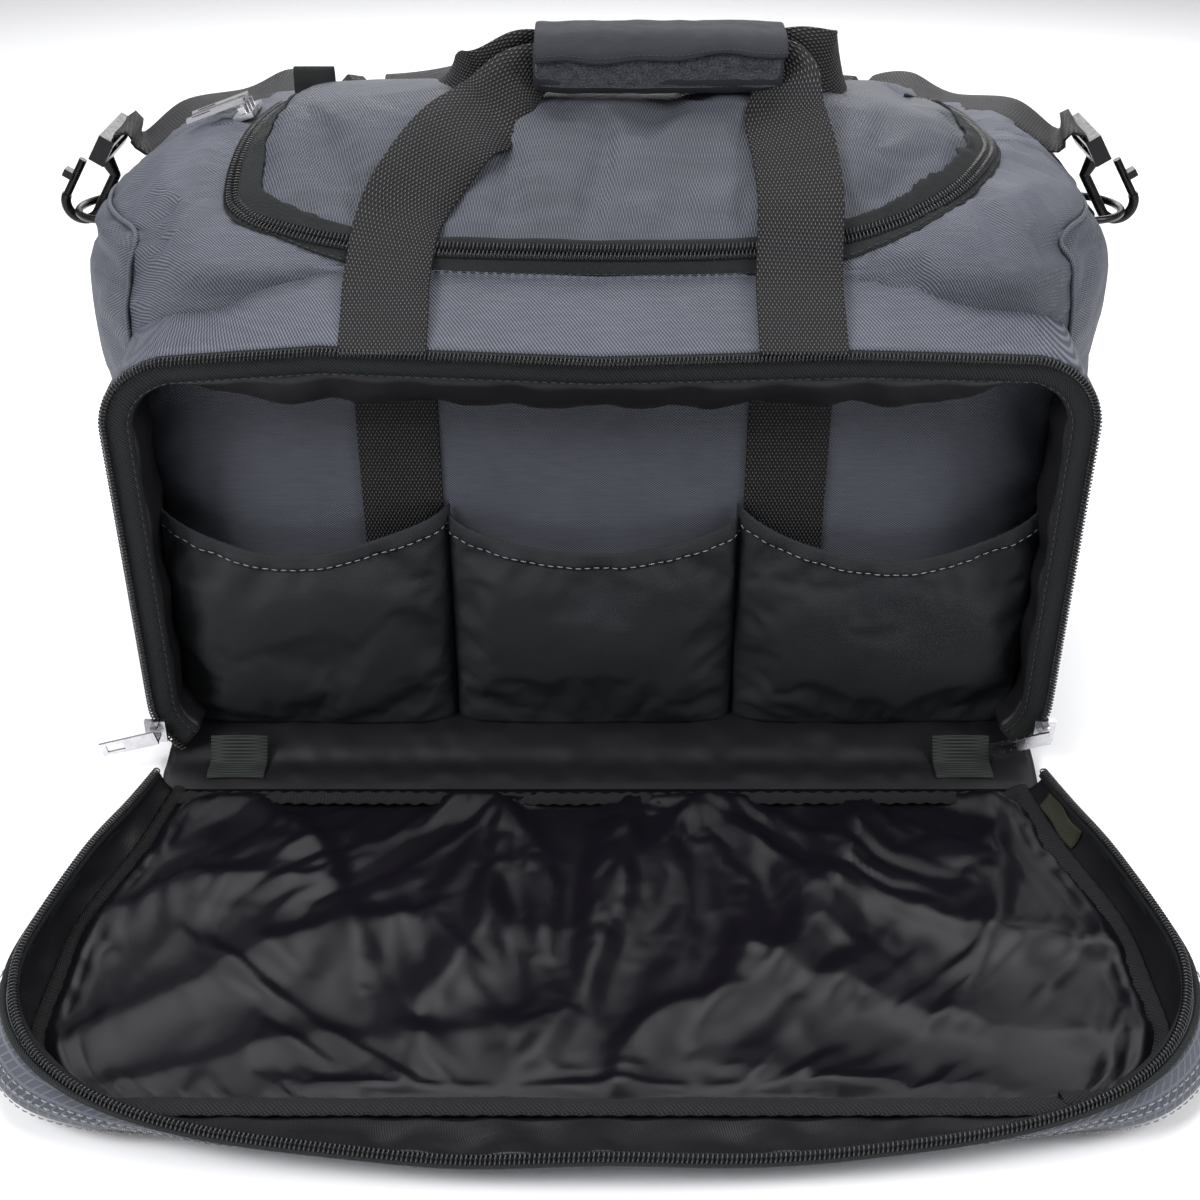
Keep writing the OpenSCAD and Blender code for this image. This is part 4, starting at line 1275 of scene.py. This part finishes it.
skirt = np.stack([skirt_row(k) for k in np.linspace(0, 1, 18)], 1)
skirt_obj = sheet_object("cover_skirt", skirt, RIPSTOP, thick=0.8, offset=-1)
on_cover(skirt_obj, "polyester")
piping_line = skirt_row(0.02) + rim_side * 0.8
cover_piping = join("cover_piping", [tube_part(piping_line, 1.5, sides=7, facing=UP)], TAPE)
on_cover(cover_piping, "tape")
stitch_parts = [stitches_part(skirt_row(k) + rim_side * 1.0, rim_side, radius=0.3)
                for k in (0.22, 0.3, 0.62)]
skirt_stitches = join("cover_stitches", stitch_parts, THREAD)
on_cover(skirt_stitches, "polyester")

panel_outline = cover_outline(shrink=0.4, step=5)
panel = mesh_object("cover_panel", np.column_stack([panel_outline, np.full(
    len(panel_outline), 1.2)]), [tuple(range(len(panel_outline)))], GREY, panel_outline)
thicken(panel, 1.0, 0)
place(panel, "cover", "polyester", "flap_panel")


# Gathered binding round the floor's edge, and the mesh tape along the front seam.
def gathered(name, line, facing, width, material, ruffle, seed, slot, body_call):
    """Binding tape folded flat over a seam, with small gathers."""
    s = lengths(line)
    side = unit(np.cross(tangents(line), facing))
    rows = []
    for u in np.linspace(-1, 1, 9):
        wave = np.sin(s * 0.9 + 1.7 * wobble(line, 20, seed)) * ruffle * (0.4 + 0.6 * abs(u))
        wave += ruffle * 0.8 * wobble(line + u * 9, 6.0, seed + 1)
        rows.append(line + side * (u * width / 2)
                    + facing * (1.6 * (1 - u * u) + wave + 0.6)[:, None])
    obj = sheet_object(name, np.stack(rows, 1), material, thick=0.7, offset=0)
    body_call(obj, slot)
    return obj


def on_panel(obj, slot, *nodes):
    return place(obj, "cover", slot, *nodes)


def edge_run(first, last, shrink):
    """A stretch of the floor's edge between two shares of its length, and its facing."""
    edge = cover_outline(shrink=shrink, step=1.6)
    edge = edge[int(first * len(edge)):int(last * len(edge))]
    t = tangents(edge)
    leaning = unit(np.column_stack([-t[:, 1] * 0.35, t[:, 0] * 0.35, np.ones(len(edge))]))
    return np.column_stack([edge, np.full(len(edge), FLOOR_Z + 1.2)]), leaning


line, facing = edge_run(0.0, 0.26, 2.5)
binding = gathered("cover_binding_left", line, facing, 5.5, KNIT, 0.45, 91, "tape", on_panel)
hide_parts("flap_binding")
line, facing = edge_run(0.72, 1.0, 5.0)
gathered("cover_binding_right", line, facing, 11.0, MESH_TAPE, 0.3, 92, "tape", on_panel)
line, facing = edge_run(0.27, 0.73, 1.0)
gathered("front_mesh_tape", line, facing, 13.0, MESH_TAPE, 0.25, 97, "tape", on_panel)
hinge_keys = [(-BACK_HALF + 6, HINGE_Y - 8, FLOOR_Z + 1.2), (-110, HINGE_Y - 9, FLOOR_Z + 1.6),
              (0, HINGE_Y - 9, FLOOR_Z + 1.2), (110, HINGE_Y - 9, FLOOR_Z + 1.6),
              (BACK_HALF - 6, HINGE_Y - 8, FLOOR_Z + 1.2)]
hinge_line = curve(hinge_keys, step=1.6)
gathered("hinge_binding", hinge_line, np.tile(UP, (len(hinge_line), 1)), 8.5, KNIT, 0.6, 95,
         "tape", on_panel)


# ---------------------------------------------------------------- webbing and handles

PIVOT_Y = WALL_Y - 4
PIVOT_Z = WALL_H + 11
FRONT_LEG_X = [span("front_leg_" + side)[0][0] + WEB_W / 2 for side in ("left", "right")]
BACK_LEG_X = [span("back_leg_" + side)[0][0] + WEB_W / 2 for side in ("left", "right")]
WEB_T = 1.7
GX0, GX1 = GRIP_LOW[0], GRIP_HIGH[0]
GY0, GY1 = GRIP_LOW[1], GRIP_HIGH[1]
GRIP_SAG = 4.0
GZ0, GZ1 = GRIP_LOW[2] - GRIP_SAG, GRIP_HIGH[2] - 2 * GRIP_SAG
GX, GY, GZ = (GX0 + GX1) / 2, (GY0 + GY1) / 2, (GZ0 + GZ1) / 2


def webbing(name, keys, step=2.2):
    """A strap through keys of a point, the direction that its width is held along, and
    where it is folded narrower the share of its width that is left."""
    rows = [(*key[0], *unit(np.array(key[1], float)), key[2] if len(key) > 2 else 1.0)
            for key in keys]
    line = curve(rows, step=step)
    part = band_part(line[:, :3], unit(line[:, 3:6]), WEB_W * line[:, 6], WEB_T, dish=0.25)
    return join(name, [part], WEBBING_PAINTED_HIGHLIGHTS)


def top(x, y, lift=1.6):
    """A point that lies on the dome."""
    return on_dome(x, y, lift)[0]


X, Y, Z = np.eye(3)
# Front straps: up from the rim, over the dome, then twisted into the grip's ends.
left_x, right_x = FRONT_LEG_X
front_left = webbing("front_strap_left", [
    ((left_x, RIM_Y - 3.0, RIM_TOP + RIM_PROUD + 3), X),
    ((left_x, RIM_Y + 14, RIM_TOP + 17), X),
    ((left_x, PIVOT_Y + 0.5, PIVOT_Z + 2), X),
    (top(left_x + 5, -108, 2.0), X),
    (top(left_x + 15, -95, 4.0), X - 0.15 * Z),
    (top(left_x + 30, -82, 7.0), X - 0.3 * Y - 0.45 * Z),
    ((left_x + 44, -71, GZ0 - 5), 0.75 * X - 0.3 * Y - 0.75 * Z, 0.95),
    ((GX0 - 7, -62, GZ0 + 7), 0.4 * X - 0.2 * Y - Z, 0.75),
    ((GX0 + 8, GY0 + 10, GZ - 1), -Z, 0.55),
    ((GX - 20, GY0 + 11, GZ - 1), -Z, 0.5),
    ((GX, GY0 + 11, GZ - 1), -Z, 0.5)])
front_right = webbing("front_strap_right", [
    ((right_x, RIM_Y - 3.0, RIM_TOP + RIM_PROUD + 3), X),
    ((right_x, RIM_Y + 14, RIM_TOP + 17), X),
    ((right_x, PIVOT_Y + 0.5, PIVOT_Z + 2), X),
    ((right_x + 1, -110, 266), X),
    ((right_x - 1, -90, 283), X + 0.05 * Z),
    ((right_x - 4, -73, GZ0 - 5), X + 0.25 * Z, 0.95),
    ((GX1 + 2, -61, GZ0 + 9), 0.7 * X + 0.6 * Z, 0.75),
    ((GX1 - 8, GY0 + 10, GZ + 1), 0.1 * X + Z, 0.55),
    ((GX + 20, GY0 + 11, GZ), Z, 0.5),
    ((GX, GY0 + 11, GZ), Z, 0.5)])
for strap, side in ((front_left, "left"), (front_right, "right")):
    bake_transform(strap)
    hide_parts("front_leg_" + side)
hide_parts("front_bar")



def wall_front(x, z):
    """How far forward the front wall stands under a strap's width at each height."""
    starts = [[Vector((x + aside, RIM_Y - 40, h)) for aside in (-15, 0, 15)] for h in z]
    return np.array([min(tree.ray_cast(start, Vector((0, 1, 0)))[0].y for start in row)
                     for row in starts])


STRAP_FOOT = 84.0
inner_parts = []
for x in FRONT_LEG_X:
    z = np.linspace(STRAP_FOOT, RIM_TOP - 3, 60)
    line = np.column_stack([np.full(len(z), x), wall_front(x, z) - 1.3, z])
    inner_parts.append(band_part(line, np.tile(X, (60, 1)), WEB_W, WEB_T))
inner_straps = join("wall_straps_front", inner_parts, WEBBING_PAINTED_HIGHLIGHTS)
place(inner_straps, "bag", "webbing", "front_wall_straps")

# Back straps: up the back wall, over the dome, and into the grip behind the front ones.
back_left_x, back_right_x = BACK_LEG_X
back_left = webbing("back_strap_left", [
    ((GX, GY1 - 11, GZ), Z, 0.5),
    ((GX0 + 12, GY1 - 11, GZ), Z, 0.5),
    ((GX0 - 6, GY1 - 16, GZ - 1), Z, 0.7),
    ((GX0 - 24, GY - 4, GZ0 + 1), 0.25 * X + 0.1 * Y + Z, 0.95),
    ((GX0 - 42, GY + 3, GZ0 - 5), 0.5 * X + 0.3 * Y + 0.8 * Z),
    ((GX0 - 54, GY + 24, GZ0 - 8), 0.8 * X + 0.3 * Y + 0.5 * Z),
    (top(back_left_x + 4, 18, 3.0), X + 0.15 * Z),
    (top(back_left_x, 62), X),
    (top(back_left_x, 104), X),
    ((back_left_x, HALF_D + 2.4, PIVOT_Z), X),
    ((back_left_x, HALF_D + 3.4, PIVOT_Z - 22), X)])
back_right = webbing("back_strap_right", [
    ((GX, GY1 - 11, GZ), Z, 0.5),
    ((GX1 - 12, GY1 - 11, GZ), Z, 0.5),
    ((GX1 + 8, GY1 - 14, GZ - 1), Z, 0.75),
    ((GX1 + 25, GY1 - 8, GZ0 + 4), -0.1 * X + 0.1 * Y + Z),
    ((GX1 + 33, GY1 + 12, GZ0 - 1), -0.35 * X + Z),
    ((GX1 + 28, GY1 + 40, GZ0 - 9), -0.8 * X + 0.6 * Z),
    (top(back_right_x + 4, 48, 4.0), -X + 0.15 * Z),
    (top(back_right_x, 76), -X),
    (top(back_right_x, 106), -X),
    ((back_right_x, HALF_D + 2.4, PIVOT_Z), -X),
    ((back_right_x, HALF_D + 3.4, PIVOT_Z - 22), -X)])
for strap, side in ((back_left, "left"), (back_right, "right")):
    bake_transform(strap)
    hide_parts("back_leg_" + side)
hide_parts("back_bar")
BACK_LOW = span("back_wall_straps")[0]
outer_parts = []
for x in BACK_LEG_X:
    z = np.linspace(BACK_LOW[2], PIVOT_Z - 20, 70)
    line = np.column_stack([np.full(70, x), np.full(70, HALF_D + 2.6), z])
    outer_parts.append(band_part(line, np.tile(X, (70, 1)), WEB_W, WEB_T))
outer_straps = join("wall_straps_back", outer_parts, WEBBING_PAINTED_HIGHLIGHTS)
place(outer_straps, "bag", "webbing", "back_wall_straps")
box_parts = []
for x in BACK_LEG_X:
    for corners in (((-14, 4), (14, 4), (14, 34), (-14, 34), (-14, 4)),
                    ((-14, 4), (14, 34)), ((14, 4), (-14, 34))):
        path = np.array([(x + a, HALF_D + 3.6, BACK_LOW[2] + b) for a, b in corners], float)
        path = resample(path, step=1.5)
        box_parts.append(stitches_part(path, np.tile(Y, (len(path), 1))))
box_stitches = join("strap_box_stitches", box_parts, DARK_THREAD)
place(box_stitches, "bag", "webbing")


# The grip: a padded front, a padded back, and a closing flap over the top.
def grip_sheet(name, section, x0, x1, material, thick, seed, body, slot, nodes=(),
               wave=None, swell=1.0, count=64):
    """A padded piece swept along the grip from a section of (y, z) points."""
    section = curve(section, count=22, measure=2)
    xs = np.linspace(x0, x1, count)
    t = (xs - x0) / (x1 - x0)
    grid = np.zeros((len(section), count, 3))
    grid[..., 0] = xs[None]
    grid[..., 1:] = section[:, None]
    centre = np.array([GY, GZ])
    away = unit(grid[..., 1:] - centre)
    crown = np.clip(np.sin(np.pi * t), 0, 1) ** 0.4
    grid[..., 1:] += away * (swell * (crown - 0.6))[None, :, None]
    rough_surface = wobble(grid, 15.0, seed).reshape(grid.shape[:2])
    rough_surface += 0.5 * wobble(grid, 6.0, seed + 1).reshape(grid.shape[:2])
    grid[..., 1:] += away * (0.8 * rough_surface)[..., None]
    if wave is not None:
        edge = np.linspace(0, 1, len(section)) ** 4
        grid[..., 2] += edge[:, None] * wave(t)[None]
    obj = sheet_object(name, grid, material, thick=thick, offset=0)
    soften = obj.modifiers.new("soften", "SUBSURF")
    soften.levels = soften.render_levels = 1
    place(obj, body, slot, *nodes)
    return obj, grid


pad, _ = grip_sheet("grip_front_pad", [(GY1 - 6, GZ0 + 3.5), (GY, GZ0 + 0.8),
                                       (GY0 + 8, GZ0 + 2), (GY0 + 1.5, GZ0 + 8),
                                       (GY0 + 0.6, GZ0 + 18), (GY0 + 3, GZ1 - 5),
                                       (GY0 + 9, GZ1 - 3.6)],
                    GX0, GX1, GRIP_CLOTH, 2.6, 101, "front_handle", "pocket_fabric",
                    ("grip_pad",))
grip_sheet("grip_pile", [(GY0 + 2.8, GZ0 + 4.5), (GY0 - 0.3, GZ0 + 11),
                         (GY0 - 0.8, GZ0 + 19), (GY0 + 1.6, GZ1 - 5.5)],
           GX0 + 1.0, GX1 - 1.5, PILE, 1.2, 101, "front_handle", "pocket_fabric")
back_pad, _ = grip_sheet("grip_back_pad", [(GY1 - 5, GZ0 + 6), (GY1 - 1.6, GZ0 + 10),
                                           (GY1 - 1.2, GZ - 1), (GY1 - 2.2, GZ1 - 7),
                                           (GY1 - 5, GZ1 - 4.6)],
                         GX0, GX1, GRIP_CLOTH, 2.4, 104, "back_handle", "pocket_fabric",
                         ("grip_back",))


def flap_wave(t):
    """How the closing flap's front edge rises and falls along the grip."""
    return (1.8 * np.sin(2.1 * np.pi * t + 2.6) + 0.9 * np.sin(6.1 * np.pi * t)
            - 3.0 * np.exp(-(t / 0.12) ** 2) + 1.0)


flap, flap_grid = grip_sheet("grip_closing_flap", [(GY1 - 1.0, GZ1 - 5), (GY1 - 2.6, GZ1 - 1.0),
                                                   (GY1 - 12, GZ1 + 0.6), (GY, GZ1 + 1.0),
                                                   (GY0 + 8, GZ1 + 0.2), (GY0 - 0.2, GZ1 - 4.2),
                                                   (GY0 - 2.6, GZ1 - 9.5)],
                             GX0 + 0.5, GX1 + 1.5, GRIP_CLOTH, 1.9, 107, "wrap_flap",
                             "pocket_fabric", ("grip_flap",), wave=flap_wave, swell=0.8)
hem_line = flap_grid[-2] + np.array([0, -1.3, 0.4])
flap_stitch = join("grip_flap_stitches", [stitches_part(
    resample(hem_line, step=1.2), np.tile(unit(FORWARD + 0.4 * UP), (len(resample(
        hem_line, step=1.2)), 1)), length=1.8, space=1.0, radius=0.22)], DARK_THREAD)
place(flap_stitch, "wrap_flap", "pocket_fabric")


# ---------------------------------------------------------------- rings, hooks and strap

for side, k in (("left", -1), ("right", 1)):
    low, high = span("ring_tab_" + side)
    ring_low, ring_high = span("d_ring_" + side)
    bar_x = k * (HALF_W + 5)
    ring_y, ring_z = (ring_low[1] + ring_high[1]) / 2, (ring_low[2] + ring_high[2]) / 2
    wall = k * (HALF_W + 3)
    keys = [(wall, low[2] + 1), (wall, ring_z - 22), (bar_x - k * 3.6, ring_z - 4),
            (bar_x - k * 3.4, ring_z + 2.2), (bar_x, ring_z + 3.9), (bar_x + k * 3.6, ring_z + 1),
            (bar_x + k * 2.6, ring_z - 4), (wall + k * 2.2, ring_z - 16), (wall + k * 2.2, low[2])]
    line = curve([(x, ring_y, z) for x, z in keys], step=1.5)
    loop = join("ring_loop_" + side, [band_part(line, np.tile(Y, (len(line), 1)),
                                                2 * (high[1] - ring_y) - 9, 1.6)], WEBBING_PAINTED_HIGHLIGHTS)
    place(loop, "bag", "webbing", "ring_tab_" + side)

EYE_LOW, EYE_HIGH = span("swivel_eye_right")
HANG_LOW, HANG_HIGH = span("strap_middle")
strap_y = (HANG_LOW[1] + HANG_HIGH[1]) / 2
eye = np.array([(EYE_LOW[0] + EYE_HIGH[0]) / 2 - 3, (EYE_LOW[1] + EYE_HIGH[1]) / 2,
                EYE_HIGH[2] - 4])


def shoulder_keys(k):
    """The strap from the swivel eye over one shoulder to the top of its hang."""
    over = []
    for x, y, lift, side in ((228, 28, 5, Y + 0.3 * X), (208, 38, 2.5, Y + 0.5 * X),
                             (180, 56, 2.2, Y + 0.6 * X), (158, 84, 2.2, Y + 0.5 * X)):
        over.append((top(k * x, y, lift), (side * [k, 1, 1])))
    start = [((k * eye[0], eye[1], eye[2]), Y),
             ((k * (eye[0] - 8), eye[1] + 2, eye[2] + 2.5), Y)]
    end = [((k * (HANG_HIGH[0] + 10), HALF_D + 2, HANG_HIGH[2] + 10), Y + 0.15 * k * X),
           ((k * HANG_HIGH[0], strap_y - 6, HANG_HIGH[2] - 2), Y)]
    return start + over + end


hang = []
for t in np.linspace(0.12, 0.88, 9):
    x = HANG_HIGH[0] * math.cos(math.pi * t)
    z = HANG_LOW[2] + 2 + (HANG_HIGH[2] - HANG_LOW[2]) * (1 - math.sin(math.pi * t) ** 0.85)
    hang.append(((x, strap_y, z), Y))
shoulder = webbing("shoulder_strap", shoulder_keys(1) + hang + shoulder_keys(-1)[::-1],
                   step=3.0)
place(shoulder, "bag", "webbing", "strap_right", "strap_middle", "strap_left")

for node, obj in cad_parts.items():
    finish_of = {"d_ring": BLACK_METAL, "hook": BLACK_METAL, "swivel": BLACK_METAL,
                 "strap_adjuster": NYLON, "strap_keeper": NYLON, "base_board": BOARD,
                 "lid_slider": SILVER, "lid_pull": SILVER, "pocket_slider": SILVER,
                 "pocket_pull": SILVER}
    for prefix, material in finish_of.items():
        if node.startswith(prefix):
            obj.data.materials.clear()
            obj.data.materials.append(material)
            if prefix != "base_board":
                bevel = obj.modifiers.new("edges", "BEVEL")
                bevel.width = 0.35 * MM
                bevel.segments = 2
                bevel.limit_method = "ANGLE"


# ---------------------------------------------------------------- floor, light and camera

stage_mesh = bpy.data.meshes.new("floor")
SIZE, WALL = 3.0, 1.6
stage_rows = [(-SIZE, 0)] + [(SIZE - 0.6 + 0.6 * math.sin(a), 0.6 - 0.6 * math.cos(a))
                             for a in np.radians(np.linspace(0, 90, 14))] + [(SIZE, WALL + 2)]
stage_mesh.from_pydata([(x, y, z) for y, z in stage_rows for x in (-SIZE, SIZE)], [],
                       grid_faces(len(stage_rows), 2))
stage_mesh.polygons.foreach_set("use_smooth", [True] * len(stage_mesh.polygons))
stage_net = Net("stage_paint", 0.9, specular=0.1)
stage_mesh.materials.append(stage_net.finish(linear((246, 246, 248))))
stage = bpy.data.objects.new("floor", stage_mesh)
bpy.context.scene.collection.objects.link(stage)

scene = bpy.context.scene
world = bpy.data.worlds.new("studio")
world.use_nodes = True
background = world.node_tree.nodes["Background"]
background.inputs["Color"].default_value = (1.0, 1.0, 1.0, 1.0)
background.inputs["Strength"].default_value = 0.3
scene.world = world
scene.view_settings.view_transform = "Standard"


def softbox(name, place_at, look_at, size, power):
    light = bpy.data.lights.new(name, "AREA")
    light.shape = "RECTANGLE"
    light.size, light.size_y = size
    light.energy = power
    obj = bpy.data.objects.new(name, light)
    obj.location = place_at
    obj.rotation_euler = (Vector(look_at) - Vector(place_at)).to_track_quat("-Z", "Y").to_euler()
    scene.collection.objects.link(obj)
    return obj


TARGET = (0, -0.15, 0.12)
softbox("key_left", (-1.1, -0.9, 1.3), TARGET, (0.7, 0.7), 27)
softbox("key_right", (1.2, -0.7, 1.1), TARGET, (0.6, 0.8), 16)
softbox("top", (0, 0.2, 1.7), TARGET, (1.2, 0.6), 22)
softbox("back_rim", (0.2, 1.4, 1.0), TARGET, (1.6, 0.5), 14)

FOCAL, SENSOR = 48.3, 36.0
CAMERA_AT = (0.0, -0.802, 0.4835)
CAMERA_DOWN = math.radians(31.3)
camera_data = bpy.data.cameras.new("camera")
camera_data.lens = FOCAL
camera_data.sensor_width = SENSOR
camera = bpy.data.objects.new("camera", camera_data)
camera.location = CAMERA_AT
camera.rotation_euler = (math.pi / 2 - CAMERA_DOWN, 0, 0)
scene.collection.objects.link(camera)
scene.camera = camera
